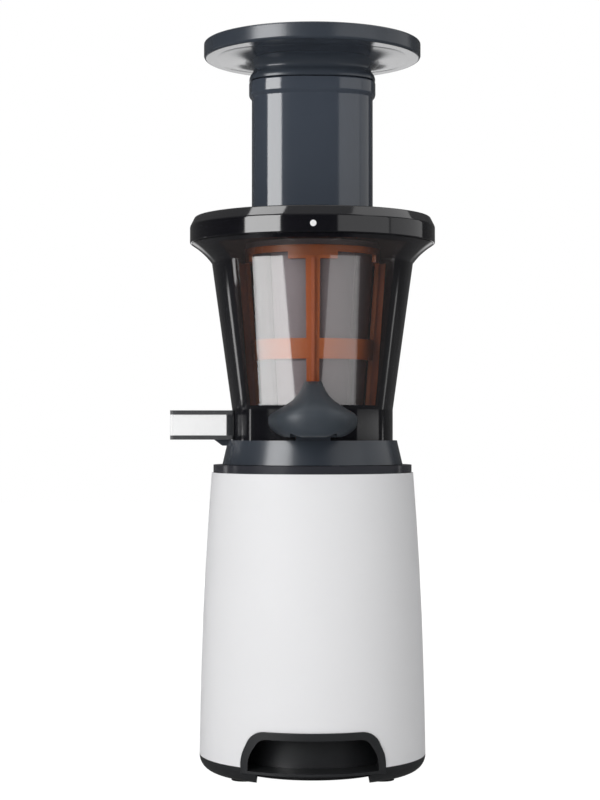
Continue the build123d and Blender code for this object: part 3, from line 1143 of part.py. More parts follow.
def nose_form(inset):
    """Bell-shaped hood as the common volume of its front, side and plan outlines, inset all round."""
    foot = NOSE_FOOT_HALF_WIDTH - inset
    wide = NOSE_HALF_WIDTH - inset
    spine = NOSE_SPINE_HALF_WIDTH - inset
    low = NOSE_BOTTOM
    chamfer_top = low + 0.5 * (wide - foot)
    shoulder = NOSE_SHOULDER - inset
    top = NOSE_TOP - inset
    rise = top - shoulder
    right = [(foot, low), (wide, chamfer_top), (wide, shoulder), (0.5 * wide, shoulder + 0.13 * rise),
             (0.28 * wide, shoulder + 0.4 * rise), (spine + 0.3, shoulder + 0.75 * rise), (spine, top)]
    left = [(-x, z) for x, z in reversed(right)]
    front = extrude(Plane.XZ * make_face(Polyline(*right, *left, close=True)), NOSE_REACH - inset)
    face_y = -(NOSE_REACH - inset)
    front_top = NOSE_FRONT_TOP - inset
    drum_y = -(drum_radius(NOSE_TOP) + NOSE_WALL - inset)
    run = drum_y - face_y
    side = [(0, low), (face_y, low), (face_y, front_top - 0.1 * run), (face_y + 0.1 * run, front_top),
            (face_y + 0.62 * run, shoulder + 0.12 * rise), (face_y + 0.84 * run, shoulder + 0.5 * rise),
            (drum_y, top), (0, top)]
    profile = extrude(Plane.YZ * make_face(Polyline(*side, close=True)), wide, both=True)
    plan = make_face(Polyline((-wide, 0), (-wide, face_y), (wide, face_y), (wide, 0), close=True))
    front_corners = plan.vertices().sort_by(Axis.Y)[:2]
    plan = Pos(0, 0, low) * extrude(fillet(front_corners, 0.6 * wide), top - low)
    return front & profile & plan


def make_pulp_outlet():
    drum = turned([(0, 0), (GALLERY_RADIUS, 0), (GALLERY_RADIUS, GALLERY_TOP),
                   (DRUM_TOP_RADIUS, DRUM_TOP), (0, DRUM_TOP)])
    hood = nose_form(0) - drum
    half = riser_half_width() - PULP_DUCT_WALL
    mouth_half = NOSE_FOOT_HALF_WIDTH - NOSE_WALL
    mouth_back = -(BASE_RING_BOTTOM_RADIUS + 4 * NOSE_WALL)
    channel_bottom = NOSE_BOTTOM + NOSE_WALL
    cavity = nose_form(NOSE_WALL) & block(-BIG, BIG, -BIG, -GALLERY_RADIUS - 2 * NOSE_WALL, channel_bottom,
                                          NOSE_SHOULDER)
    mouth = block(-mouth_half, mouth_half, -NOSE_REACH + NOSE_WALL, mouth_back, 0, channel_bottom)
    inlet = block(-half, half, -GALLERY_RADIUS - 3 * NOSE_WALL, 0, channel_bottom,
                  riser_top() - PULP_DUCT_WALL)
    riser = block(-riser_half_width() - FIT_GAP, riser_half_width() + FIT_GAP,
                  -GALLERY_RADIUS - PULP_DUCT_WALL - FIT_GAP, 0, 0, riser_top() + FIT_GAP)
    return hood - cavity - mouth - inlet - riser


# ---------------------------------------------------------------- screen and wiper
def make_juice_screen():
    screen = screen_shell(-SCREEN_THICKNESS, 0, GALLERY_TOP, SCREEN_TOP)
    return screen


def idler_centre():
    """The idler turns behind the auger."""
    return (0.0, IDLER_DISTANCE)


def make_screen_frame():
    """Plastic frame of the screen: foot cup, pulp tube, idler pin and top rim."""
    cup_outer = screen_radius(FRAME_PLATE_BOTTOM)
    plate = disc(cup_outer, FRAME_PLATE_BOTTOM, FRAME_PLATE_TOP)
    cup = screen_shell(-FRAME_RIM_WIDTH, 0, FRAME_PLATE_TOP, GALLERY_TOP)
    rim = screen_shell(-SCREEN_THICKNESS, FRAME_RIM_WIDTH, SCREEN_TOP, SCREEN_TOP + FRAME_RIM_HEIGHT)
    sun_tip = WIPER_MODULE * (SUN_TEETH / 2 + TOOTH_HEIGHT_FACTOR)
    floor_hole = sun_tip + SLIDE_GAP        # the sun gear passes through when the auger is put in
    tube_outside = pulp_tube_block(0, BOWL_FLOOR_UNDERSIDE, FRAME_PLATE_BOTTOM)
    tube_inside = pulp_tube_block(-PULP_TUBE_WALL, BOWL_FLOOR_UNDERSIDE, FRAME_PLATE_TOP)
    x, y = idler_centre()
    pin = disc(IDLER_PIN_RADIUS, WIPER_GEAR_BOTTOM, FRAME_PLATE_BOTTOM, x, y)
    lower = plate + cup + tube_outside + pin - tube_inside - disc(floor_hole, 0, FRAME_PLATE_TOP)
    spans = []
    for index in range(BAYONET_LUGS):
        strip = screen_shell(0, WIPER_OFFSET / 2, FRAME_PLATE_TOP, SCREEN_TOP)
        spans.append(strip & wedge(45 + 360 * index / BAYONET_LUGS, 2.5, 0, BIG))
    return united([lower, *spans, rim])


def sun_phase():
    """The sun's first tooth points back at the idler."""
    return 90.0


def idler_phase():
    return meshed_phase(IDLER_TEETH, SUN_TEETH, sun_phase(), 90.0)


def ring_phase():
    """Phase of a ring space: it faces the idler tooth that points outwards."""
    return 90.0 + (idler_phase() - 90.0) * IDLER_TEETH / RING_TEETH


def make_idler_gear():
    x, y = idler_centre()
    wheel = gear(IDLER_TEETH, WIPER_MODULE, WIPER_GEAR_BOTTOM, WIPER_GEAR_TOP, idler_phase(), x, y)
    return wheel - disc(IDLER_PIN_RADIUS + RUNNING_GAP, WIPER_GEAR_BOTTOM, WIPER_GEAR_TOP, x, y)


def rib_angles():
    return [270 + 360 * index / WIPER_RIBS for index in range(WIPER_RIBS)]


def half_angle_of(width, height):
    """Half the angle that a width fills on the wiper basket at a height."""
    radius = screen_radius(height) + WIPER_OFFSET + WIPER_RIB_DEPTH / 2
    return math.degrees(width / 2 / radius)


def make_wiper_basket():
    ring = ring_gear(RING_TEETH, WIPER_MODULE, RING_OUTER_RADIUS, WIPER_GEAR_BOTTOM, WIPER_GEAR_TOP,
                     ring_phase())
    low_band_top = WIPER_GEAR_TOP + WIPER_LOW_BAND_HEIGHT
    low_inner = screen_radius(low_band_top) + WIPER_OFFSET
    top = SCREEN_TOP - FLAT_GAP
    top_inner = screen_radius(top) + WIPER_OFFSET
    wall = turned([(screen_radius(WIPER_GEAR_TOP) + WIPER_OFFSET, WIPER_GEAR_TOP),
                   (RING_OUTER_RADIUS, WIPER_GEAR_TOP), (low_inner + WIPER_RIB_DEPTH, low_band_top),
                   (top_inner + WIPER_RIB_DEPTH, top), (top_inner, top), (low_inner, low_band_top)])
    band_top = WIPER_BAND_BOTTOM + WIPER_BAND_HEIGHT
    tee_bottom = SCREEN_TOP - WIPER_TEE_HEIGHT
    middle = (low_band_top + top) / 2
    rib_half = half_angle_of(WIPER_RIB_WIDTH, middle)
    tee_half = half_angle_of(WIPER_TEE_WIDTH, SCREEN_TOP)
    window_half = 180 / WIPER_RIBS
    for angle in rib_angles():
        between = angle + window_half
        wall = wall - wedge(between, window_half - rib_half, low_band_top, WIPER_BAND_BOTTOM)
        wall = wall - wedge(between, window_half - rib_half, band_top, tee_bottom)
        wall = wall - wedge(between, window_half - tee_half, tee_bottom, SCREEN_TOP - WIPER_TOP_BAND_HEIGHT)
    return ring + wall


def make_wiper_blades():
    """Silicone strips on the ribs, which wipe the bowl wall."""
    bottom = GALLERY_TOP + BOWL_WALL
    top = SCREEN_TOP - WIPER_TEE_HEIGHT
    start = WIPER_OFFSET + WIPER_RIB_DEPTH
    layer = screen_shell(start, start + BLADE_DEPTH, bottom, top)
    half = half_angle_of(BLADE_THICKNESS, (bottom + top) / 2)
    return Compound([layer & wedge(angle, half, 0, BIG) for angle in rib_angles()])


# ---------------------------------------------------------------- auger
def flight_radius(height):
    """Outer radius of the auger's flight: inside the frame's cup at the foot, then inside the screen."""
    wall = FRAME_RIM_WIDTH if height < GALLERY_TOP else SCREEN_THICKNESS
    return screen_radius(height) - wall - AUGER_GAP


def flight_section(height, angle):
    """Cross-section of the flight in the half plane at an angle, thick at the core and thin at the edge."""
    turn = math.radians(angle)
    plane = Plane(origin=(0, 0, height), x_dir=(math.cos(turn), math.sin(turn), 0),
                  z_dir=(-math.sin(turn), math.cos(turn), 0))
    root = AUGER_CORE_TOP / 2
    edge = flight_radius(height - FLIGHT_THICKNESS / 2)
    corners = [(root, -FLIGHT_THICKNESS / 2), (edge, -FLIGHT_THICKNESS / 4),
               (edge, FLIGHT_THICKNESS / 4), (root, FLIGHT_THICKNESS / 2)]
    return plane * make_face(Polyline(*corners, close=True))


def make_flight():
    """Screw flight round the auger's core, as ruled strips between sections."""
    low = AUGER_BOTTOM + FLIGHT_THICKNESS / 2
    rise = AUGER_TOP - AUGER_NOSE - FLIGHT_THICKNESS / 2 - low
    turns = rise / FLIGHT_PITCH
    count = round(turns * FLIGHT_STEPS)
    shares = [index / count for index in range(count + 1)]
    return loft([flight_section(low + rise * share, 360 * turns * share) for share in shares], ruled=True)


def make_auger():
    core = turned([(0, AUGER_BOTTOM), (AUGER_CORE_BOTTOM, AUGER_BOTTOM),
                   (AUGER_CORE_TOP, AUGER_TOP - AUGER_NOSE),
                   (AUGER_PIN_RADIUS + AUGER_NOSE / 2, AUGER_TOP), (0, AUGER_TOP)])
    journal = disc(AUGER_JOURNAL_RADIUS, DECK_BOSS_TOP + FLAT_GAP, AUGER_BOTTOM)
    sun = gear(SUN_TEETH, WIPER_MODULE, WIPER_GEAR_BOTTOM, WIPER_GEAR_TOP, sun_phase())
    pin = disc(AUGER_PIN_RADIUS, AUGER_TOP, AUGER_TOP + AUGER_PIN_LENGTH)
    auger = core + make_flight() + journal + sun + pin
    return auger - disc(socket_radius(), 0, DECK_BOSS_TOP + DRIVE_HEX_LENGTH + FLAT_GAP)


def socket_radius():
    """Outer radius of the steel socket in the auger's foot."""
    return DRIVE_HEX_FLATS / math.sqrt(3) + SLIDE_GAP + SOCKET_WALL


def make_drive_socket():
    """Steel hexagonal socket pressed into the auger's foot."""
    low = DECK_BOSS_TOP + FLAT_GAP
    high = DECK_BOSS_TOP + DRIVE_HEX_LENGTH + FLAT_GAP
    return disc(socket_radius(), low, high) - hexagon(DRIVE_HEX_FLATS + SLIDE_GAP, low, high)


# ---------------------------------------------------------------- lid
def tube_inner():
    """Half width and half depth of the feed tube's bore."""
    return (TUBE_HALF_WIDTH - TUBE_WALL, TUBE_HALF_DEPTH - TUBE_WALL)


def make_lid():
    rim_inner = LID_RADIUS - LID_RIM_WALL
    bevel_bottom = LID_TOP - LID_BEVEL_HEIGHT
    lid = turned([(rim_inner, LID_BOTTOM), (LID_RADIUS, LID_BOTTOM), (LID_RADIUS, bevel_bottom),
                  (LID_TOP_RADIUS, LID_TOP), (0, LID_TOP), (0, LID_PLATE_UNDERSIDE),
                  (rim_inner, LID_PLATE_UNDERSIDE)])
    plug = tube(LID_PLUG_RADIUS, LID_PLUG_RADIUS - LID_PLUG_WALL, LID_PLATE_UNDERSIDE - LID_PLUG_HEIGHT,
                LID_PLATE_UNDERSIDE)
    boss_radius = AUGER_PIN_RADIUS + RUNNING_GAP + LID_BUSH_WALL + LID_BOSS_WALL
    boss = disc(boss_radius, LID_PLATE_UNDERSIDE - LID_BOSS_DEPTH, LID_PLATE_UNDERSIDE)
    walls = oval(TUBE_HALF_WIDTH, TUBE_HALF_DEPTH, LID_TOP, TUBE_TOP, TUBE_SETBACK)
    lip = oval(TUBE_HALF_WIDTH + TUBE_LIP, TUBE_HALF_DEPTH + TUBE_LIP, TUBE_TOP - TUBE_LIP_HEIGHT, TUBE_TOP,
               TUBE_SETBACK)
    bore = oval(*tube_inner(), LID_TOP, TUBE_TOP, TUBE_SETBACK)
    throat = oval(*tube_inner(), LID_PLATE_UNDERSIDE, LID_TOP, TUBE_SETBACK) & block(
        -BIG, BIG, FEED_SHELF_EDGE, BIG, 0, BIG)
    lug_ring = tube(rim_inner + LID_RIM_WALL / 2, rim_inner - BAYONET_LUG_DEPTH, LID_BOTTOM,
                    LID_BOTTOM + BAYONET_LUG_HEIGHT)
    lid = lid + plug + boss + walls + lip - bore - throat
    for index in range(BAYONET_LUGS):
        angle = 45 + 360 * index / BAYONET_LUGS
        lid = lid + (lug_ring & wedge(angle, BAYONET_LUG_ANGLE / 2, 0, BIG))
    bush_outer = AUGER_PIN_RADIUS + RUNNING_GAP + LID_BUSH_WALL
    lid = lid - disc(bush_outer, LID_PLATE_UNDERSIDE - LID_BOSS_DEPTH, LID_PLATE_UNDERSIDE)
    mark = Pos(0, -LID_RADIUS, (LID_BOTTOM + bevel_bottom) / 2) * Rot(90, 0, 0) * Cylinder(
        LID_MARK_RADIUS, 2 * LID_MARK_THICKNESS)
    return lid - mark


def make_lid_mark():
    """Alignment dot let into the lid's rim."""
    height = (LID_BOTTOM + LID_TOP - LID_BEVEL_HEIGHT) / 2
    dot = Pos(0, -LID_RADIUS, height) * Rot(90, 0, 0) * Cylinder(LID_MARK_RADIUS, 2 * LID_MARK_THICKNESS)
    return dot & disc(LID_RADIUS, 0, BIG)


def make_lid_bush():
    bore = AUGER_PIN_RADIUS + RUNNING_GAP
    return tube(bore + LID_BUSH_WALL, bore, LID_PLATE_UNDERSIDE - LID_BOSS_DEPTH, LID_PLATE_UNDERSIDE)


def make_lid_seal():
    """Silicone ring on the lid's plug."""
    outer = NECK_RADIUS - NECK_WALL - SLIDE_GAP
    low = LID_PLATE_UNDERSIDE - LID_PLUG_HEIGHT + LID_SEAL_HEIGHT
    return tube(outer, LID_PLUG_RADIUS, low, low + LID_SEAL_HEIGHT)


# ---------------------------------------------------------------- pusher
def make_pusher_body():
    half_width = TUBE_HALF_WIDTH - TUBE_WALL - PUSHER_GAP
    half_depth = TUBE_HALF_DEPTH - TUBE_WALL - PUSHER_GAP
    stem = oval(half_width, half_depth, PUSHER_BOTTOM, PUSHER_SHOULDER_BOTTOM, TUBE_SETBACK)
    neck_size = (PUSHER_SHOULDER_HALF_WIDTH - PUSHER_NECK_INSET,
                 PUSHER_SHOULDER_HALF_DEPTH - PUSHER_NECK_INSET)
    shoulder = oval_cone((PUSHER_SHOULDER_HALF_WIDTH, PUSHER_SHOULDER_HALF_DEPTH), neck_size,
                         PUSHER_SHOULDER_BOTTOM, PUSHER_SHOULDER_TOP, TUBE_SETBACK)
    neck = oval(*neck_size, PUSHER_SHOULDER_TOP, PUSHER_DISC_BOTTOM, TUBE_SETBACK)
    hollow = oval(half_width - PUSHER_WALL, half_depth - PUSHER_WALL, PUSHER_BOTTOM + PUSHER_WALL,
                  PUSHER_DISC_BOTTOM, TUBE_SETBACK)
    return stem + shoulder + neck - hollow


def make_pusher_disc():
    edge = PUSHER_DISC_WALL / 2
    rim = PUSHER_DISC_RADIUS - PUSHER_DISC_WALL
    dish = turned([(0, PUSHER_DISC_BOTTOM), (PUSHER_DISC_RADIUS - edge, PUSHER_DISC_BOTTOM),
                   (PUSHER_DISC_RADIUS, PUSHER_DISC_BOTTOM + edge),
                   (PUSHER_DISC_RADIUS, PUSHER_DISC_TOP - edge),
                   (PUSHER_DISC_RADIUS - edge, PUSHER_DISC_TOP), (rim, PUSHER_DISC_TOP),
                   (rim, PUSHER_DISC_BOTTOM + PUSHER_DISC_WALL), (0, PUSHER_DISC_BOTTOM + PUSHER_DISC_WALL)])
    return Pos(0, TUBE_SETBACK) * dish


def make_pusher_cap():
    """Flat cover let into the top of the pusher's disc."""
    rim = PUSHER_DISC_RADIUS - PUSHER_DISC_WALL - FIT_GAP
    plate = disc(rim, PUSHER_DISC_TOP - PUSHER_DISC_WALL, PUSHER_DISC_TOP, 0, TUBE_SETBACK)
    ring = tube(rim, rim - PUSHER_DISC_EDGE, PUSHER_DISC_BOTTOM + PUSHER_DISC_WALL,
                PUSHER_DISC_TOP - PUSHER_DISC_WALL, 0, TUBE_SETBACK)
    return plate + ring


# ---------------------------------------------------------------- all pieces
PIECES = {
    "base_tray": make_base_tray,
    "rubber_feet": make_rubber_feet,
    "base_screws": make_base_screws,
    "body_shell": make_body_shell,
    "grip_recess": make_grip_recess,
    "top_deck": make_top_deck,
    "deck_screws": make_deck_screws,
    "drive_shaft_seal": make_shaft_seal,
    "switch_bezel": make_switch_bezel,
    "control_rocker": make_rocker,
    "mains_inlet_grommet": make_inlet_grommet,
    "interlock_switch": make_interlock_switch,
    "interlock_pin": make_interlock_pin,
    "interlock_spring": make_interlock_spring,
    "control_board": make_control_board,
    "run_capacitor": make_run_capacitor,
    "motor_lower_frame": make_motor_lower_frame,
    "motor_upper_frame": make_motor_upper_frame,
    "motor_bearings": make_motor_bearings,
    "motor_stator": make_motor_stator,
    "motor_windings": make_motor_windings,
    "motor_bolts": make_motor_bolts,
    "motor_shaft": make_motor_shaft,
    "rotor_core": make_rotor_core,
    "cooling_fan": make_cooling_fan,
    "gearbox_housing": make_gearbox_housing,
    "gearbox_cover": make_gearbox_cover,
    "gearbox_screws": make_gearbox_screws,
    "output_bushes": make_output_bushes,
    "layshaft": make_layshaft,
    "lay_gear": make_lay_gear,
    "output_gear": make_output_gear,
    "drive_shaft": make_drive_shaft,
    "bowl": make_bowl,
    "bowl_window": make_bowl_window,
    "bowl_base": make_bowl_base,
    "bowl_seal": make_bowl_seal,
    "juice_spout": make_juice_spout,
    "pulp_outlet": make_pulp_outlet,
    "juice_screen": make_juice_screen,
    "screen_frame": make_screen_frame,
    "idler_gear": make_idler_gear,
    "wiper_basket": make_wiper_basket,
    "wiper_blades": make_wiper_blades,
    "auger": make_auger,
    "auger_drive_socket": make_drive_socket,
    "lid": make_lid,
    "lid_mark": make_lid_mark,
    "lid_bush": make_lid_bush,
    "lid_seal": make_lid_seal,
    "pusher_body": make_pusher_body,
    "pusher_disc": make_pusher_disc,
    "pusher_cap": make_pusher_cap,
}

os.makedirs("parts", exist_ok=True)
for name, make_piece in PIECES.items():
    piece = make_piece()
    piece.label = name
    export_step(piece, f"parts/{name}.step")
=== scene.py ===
"""Looks of the upright slow juicer: finishes, dressed sub-assemblies, studio and camera."""

import json
import logging
import math
from collections.abc import Callable
from dataclasses import dataclass
from enum import Enum

import bmesh
import bpy
from mathutils import Matrix, Vector

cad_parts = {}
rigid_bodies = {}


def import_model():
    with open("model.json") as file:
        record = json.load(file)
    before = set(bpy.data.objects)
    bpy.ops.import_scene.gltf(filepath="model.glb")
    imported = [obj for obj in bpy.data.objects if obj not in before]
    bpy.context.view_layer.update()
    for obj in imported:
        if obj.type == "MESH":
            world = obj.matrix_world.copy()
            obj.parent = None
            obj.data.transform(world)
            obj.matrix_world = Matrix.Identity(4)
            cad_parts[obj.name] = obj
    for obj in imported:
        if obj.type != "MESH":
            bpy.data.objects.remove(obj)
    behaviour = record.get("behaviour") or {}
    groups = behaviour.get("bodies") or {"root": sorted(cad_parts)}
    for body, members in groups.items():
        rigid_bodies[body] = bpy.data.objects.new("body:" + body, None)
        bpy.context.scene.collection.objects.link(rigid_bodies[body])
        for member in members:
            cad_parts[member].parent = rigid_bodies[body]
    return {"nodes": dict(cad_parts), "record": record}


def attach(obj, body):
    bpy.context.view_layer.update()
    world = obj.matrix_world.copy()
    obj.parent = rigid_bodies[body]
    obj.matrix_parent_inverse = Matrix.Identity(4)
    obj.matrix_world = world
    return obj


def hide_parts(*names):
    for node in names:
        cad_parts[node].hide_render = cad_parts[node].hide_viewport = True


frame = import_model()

LOG = logging.getLogger("juicer")
MM = 0.001
SETBACK = 16.0  # how far the feed tube and the pusher stand behind the bowl's axis, in millimetres

Pair = tuple[float, float]
Point = tuple[float, float, float]
Colour = tuple[float, float, float]
Outline = list[Pair]
Socket = bpy.types.NodeSocket


# -------- shader helpers
class Nodes:
    """Places and joins nodes in one node tree."""

    def __init__(self, tree: bpy.types.NodeTree) -> None:
        """Keeps the tree."""
        self.tree = tree

    def feed(self, node: bpy.types.Node, feeds: dict[str | int, object]) -> None:
        """Feeds inputs of a node.

        Args:
            node: the node.
            feeds: an output socket to link or a constant to set, by the name or number of each input.
        """
        for key, value in feeds.items():
            if isinstance(value, Socket):
                self.tree.links.new(value, node.inputs[key])
            else:
                node.inputs[key].default_value = value

    def add(self, kind: str, feeds: dict[str | int, object] | None = None,
            **settings: object) -> bpy.types.Node:
        """Adds a node.

        Args:
            kind: node type, without its ShaderNode prefix.
            feeds: what feeds its inputs.
            settings: properties of the node.

        Returns:
            The new node.
        """
        node = self.tree.nodes.new("ShaderNode" + kind)
        for name, value in settings.items():
            setattr(node, name, value)
        self.feed(node, feeds or {})
        return node

    def maths(self, operation: str, first: Socket | float, second: Socket | float = 0.0) -> Socket:
        """Works out a sum of one or two terms."""
        return self.add("Math", {0: first, 1: second}, operation=operation).outputs[0]

    def spread(self, value: Socket, low: float, high: float, to_low: float = 0.0,
               to_high: float = 1.0) -> Socket:
        """Maps a value's range onto another, clamped.

        Args:
            value: socket to map.
            low: value that gives to_low.
            high: value that gives to_high.
            to_low: result at the low end.
            to_high: result at the high end.

        Returns:
            The mapped value.
        """
        ends = {"From Min": low, "From Max": high, "To Min": to_low, "To Max": to_high}
        return self.add("MapRange", {"Value": value, **ends}).outputs["Result"]

    def mix(self, factor: Socket, first: object, second: object, kind: str = "RGBA") -> Socket:
        """Mixes two colours, or two numbers where kind is FLOAT."""
        return self.add("Mix", {"Factor": factor, "A": first, "B": second}, data_type=kind).outputs["Result"]

    def noise(self, vector: Socket, scale: Socket | float, **feeds: float) -> Socket:
        """Reads a noise pattern at a vector."""
        return self.add("TexNoise", {"Vector": vector, "Scale": scale, **feeds}).outputs["Fac"]

    def split(self, vector: Socket) -> bpy.types.NodeOutputs:
        """Takes a vector apart into X, Y and Z."""
        return self.add("SeparateXYZ", {0: vector}).outputs

    def bump(self, height: Socket, distance: float, strength: float = 1.0, invert: bool = False) -> Socket:
        """Turns a height pattern into normals."""
        feeds = {"Height": height, "Distance": distance, "Strength": strength}
        return self.add("Bump", feeds, invert=invert).outputs["Normal"]


class Effect(Enum):
    """Shared surface effects, each with the number inputs and the outputs of its node group."""

    MOULDING = (("Grain",), ("Height", "Tone"))
    HANDLING = (("Base", "Spread"), ("Roughness",))
    BRUSHING = (("Fineness",), ("Height", "Tone"))
    PERFORATION = (("Around", "Pitch", "Size"), ("Hole",))
    LAYERS = (("Pitch",), ("Line",))


class Group(Nodes):
    """Node group of one effect, which reads a vector and numbers."""

    def __init__(self, effect: Effect) -> None:
        """Starts the group.

        Args:
            effect: the effect, which names its sockets.
        """
        super().__init__(bpy.data.node_groups.new(effect.name.lower(), "ShaderNodeTree"))
        numbers, outputs = effect.value
        sockets = [("Vector", "INPUT", "Vector")]
        sockets += [(name, "INPUT", "Float") for name in numbers]
        sockets += [(name, "OUTPUT", "Float") for name in outputs]
        for name, side, kind in sockets:
            self.tree.interface.new_socket(name=name, in_out=side, socket_type="NodeSocket" + kind)
        self.given = self.tree.nodes.new("NodeGroupInput")
        self.out = self.tree.nodes.new("NodeGroupOutput")

    def __getitem__(self, name: str) -> Socket:
        """Finds what comes in by its name."""
        return self.given.outputs[name]

    def give(self, **results: Socket) -> None:
        """Feeds the group's outputs."""
        self.feed(self.out, results)


class Effects:
    """Builds the shared node groups, once."""

    def __init__(self) -> None:
        """Builds every group."""
        self.groups = {effect: Group(effect) for effect in Effect}
        self.build_moulding()
        self.build_handling()
        self.build_brushing()
        self.build_perforation()
        self.build_layers()

    def build_moulding(self) -> None:
        """Fine grain of a moulded surface, and a slow drift of its tone."""
        group = self.groups[Effect.MOULDING]
        grain = group.noise(group["Vector"], group["Grain"], Detail=3.0, Roughness=0.55)
        drift = group.noise(group["Vector"], 9.0, Detail=2.0)
        group.give(Height=grain, Tone=group.spread(drift, 0.3, 0.7))

    def build_handling(self) -> None:
        """Roughness that rises in soft smudges and in fine wiping marks along Z."""
        group = self.groups[Effect.HANDLING]
        smudge = group.noise(group["Vector"], 26.0, Detail=4.0, Distortion=0.4)
        drawn = group.add("Mapping", {"Vector": group["Vector"], "Scale": (900.0, 900.0, 45.0)})
        wipe = group.noise(drawn.outputs["Vector"], 1.0, Detail=2.0)
        soft = group.spread(smudge, 0.35, 0.75)
        fine = group.spread(wipe, 0.55, 0.8, 0.0, 0.5)
        marks = group.maths("MULTIPLY", group.maths("ADD", soft, fine), group["Spread"])
        group.give(Roughness=group.maths("ADD", group["Base"], marks))

    def build_brushing(self) -> None:
        """Fine lines that run round the Z axis, as on turned or rolled metal."""
        group = self.groups[Effect.BRUSHING]
        feeds = {"W": group.split(group["Vector"])["Z"], "Scale": group["Fineness"], "Detail": 3.0}
        lines = group.add("TexNoise", feeds, noise_dimensions="1D").outputs["Fac"]
        group.give(Height=lines, Tone=group.spread(lines, 0.3, 0.7))

    def build_perforation(self) -> None:
        """Staggered rows of small round holes in a wall round the Z axis; Hole is 1 in a hole."""
        group = self.groups[Effect.PERFORATION]
        place = group.split(group["Vector"])
        turn = group.maths("DIVIDE", group.maths("ARCTAN2", place["Y"], place["X"]), 2 * math.pi)
        column = group.maths("MULTIPLY", turn, group["Around"])
        row = group.maths("DIVIDE", place["Z"], group["Pitch"])
        odd = group.maths("MULTIPLY", group.maths("MODULO", group.maths("FLOOR", row), 2.0), 0.5)
        across = group.maths("SUBTRACT", group.maths("FRACT", group.maths("ADD", column, odd)), 0.5)
        up = group.maths("SUBTRACT", group.maths("FRACT", row), 0.5)
        square = group.maths("ADD", group.maths("MULTIPLY", across, across), group.maths("MULTIPLY", up, up))
        edge = group.maths("SUBTRACT", group.maths("SQRT", square), group["Size"])
        group.give(Hole=group.spread(edge, 0.06, -0.06))

    def build_layers(self) -> None:
        """Sheets stacked along Z, as in laminations or a wound coil; Line is 1 between two of them."""
        group = self.groups[Effect.LAYERS]
        row = group.maths("FRACT", group.maths("DIVIDE", group.split(group["Vector"])["Z"], group["Pitch"]))
        away = group.maths("ABSOLUTE", group.maths("SUBTRACT", row, 0.5))
        group.give(Line=group.spread(away, 0.38, 0.5))


# -------- finishes
class Mixer(Nodes):
    """Nodes of a new material, with the shared effects at hand."""

    def __init__(self, name: str, groups: dict[Effect, Group]) -> None:
        """Starts the material.

        Args:
            name: its name.
            groups: the shared node groups.
        """
        self.material = bpy.data.materials.new(name)
        self.material.use_nodes = True
        super().__init__(self.material.node_tree)
        self.shader = self.tree.nodes["Principled BSDF"]
        self.groups = groups

    def place(self, effect: Effect, **numbers: float) -> bpy.types.NodeOutputs:
        """Places the group of an effect, on Object coordinates."""
        feeds = {"Vector": self.add("TexCoord").outputs["Object"], **numbers}
        return self.add("Group", feeds, node_tree=self.groups[effect].tree).outputs


def shade(colour: Colour, share: float = 1.0) -> tuple[float, ...]:
    """Scales a colour and adds its alpha."""
    return tuple(min(1.0, part * share) for part in colour) + (1.0,)


@dataclass(frozen=True)
class Finish:
    """Base of the finishes, whose roughness rises with handling.

    Attributes:
        colour: linear base colour.
        roughness: lowest roughness.
        spread: how much the handling marks add.
    """

    colour: Colour
    roughness: float = 0.25
    spread: float = 0.1

    def feeds(self, mixer: Mixer) -> dict[str, object]:
        """Works out what feeds the shader besides its roughness; each finish has its own way."""
        raise NotImplementedError


@dataclass(frozen=True)
class Plastic(Finish):
    """Moulded plastic or rubber.

    Attributes:
        grain: scale of the moulded grain.
        depth: height of the grain in metres.
        drift: share by which the colour drifts.
        ior: index of refraction.
    """

    spread: float = 0.08
    grain: float = 1400.0
    depth: float = 0.00001
    drift: float = 0.04
    ior: float = 1.5

    def feeds(self, mixer: Mixer) -> dict[str, object]:
        """Works out what feeds the shader besides its roughness.

        Args:
            mixer: nodes of the material.

        Returns:
            Sockets and constants, by input.
        """
        moulding = mixer.place(Effect.MOULDING, Grain=self.grain)
        tones = [shade(self.colour, 1 + way * self.drift) for way in (-1, 1)]
        return {"Base Color": mixer.mix(moulding["Tone"], *tones),
                "IOR": self.ior,
                "Normal": mixer.bump(moulding["Height"], self.depth)}


@dataclass(frozen=True)
class ClearPlastic(Finish):
    """See-through plastic that turns solid and bright at grazing angles.

    Attributes:
        facing: how solid it is when looked at squarely.
        edge: how solid it is at grazing angles.
        ior: index of refraction.
    """

    roughness: float = 0.06
    spread: float = 0.04
    facing: float = 0.10
    edge: float = 0.55
    ior: float = 1.5

    def feeds(self, mixer: Mixer) -> dict[str, object]:
        """Works out what feeds the shader besides its roughness.

        Args:
            mixer: nodes of the material.

        Returns:
            Sockets and constants, by input.
        """
        moulding = mixer.place(Effect.MOULDING, Grain=300.0)
        slant = mixer.add("LayerWeight", {"Blend": 0.35}).outputs["Facing"]
        return {"Base Color": mixer.mix(moulding["Tone"], shade(self.colour, 0.94), shade(self.colour)),
                "IOR": self.ior,
                "Alpha": mixer.spread(slant, 0.0, 1.0, self.facing, self.edge)}


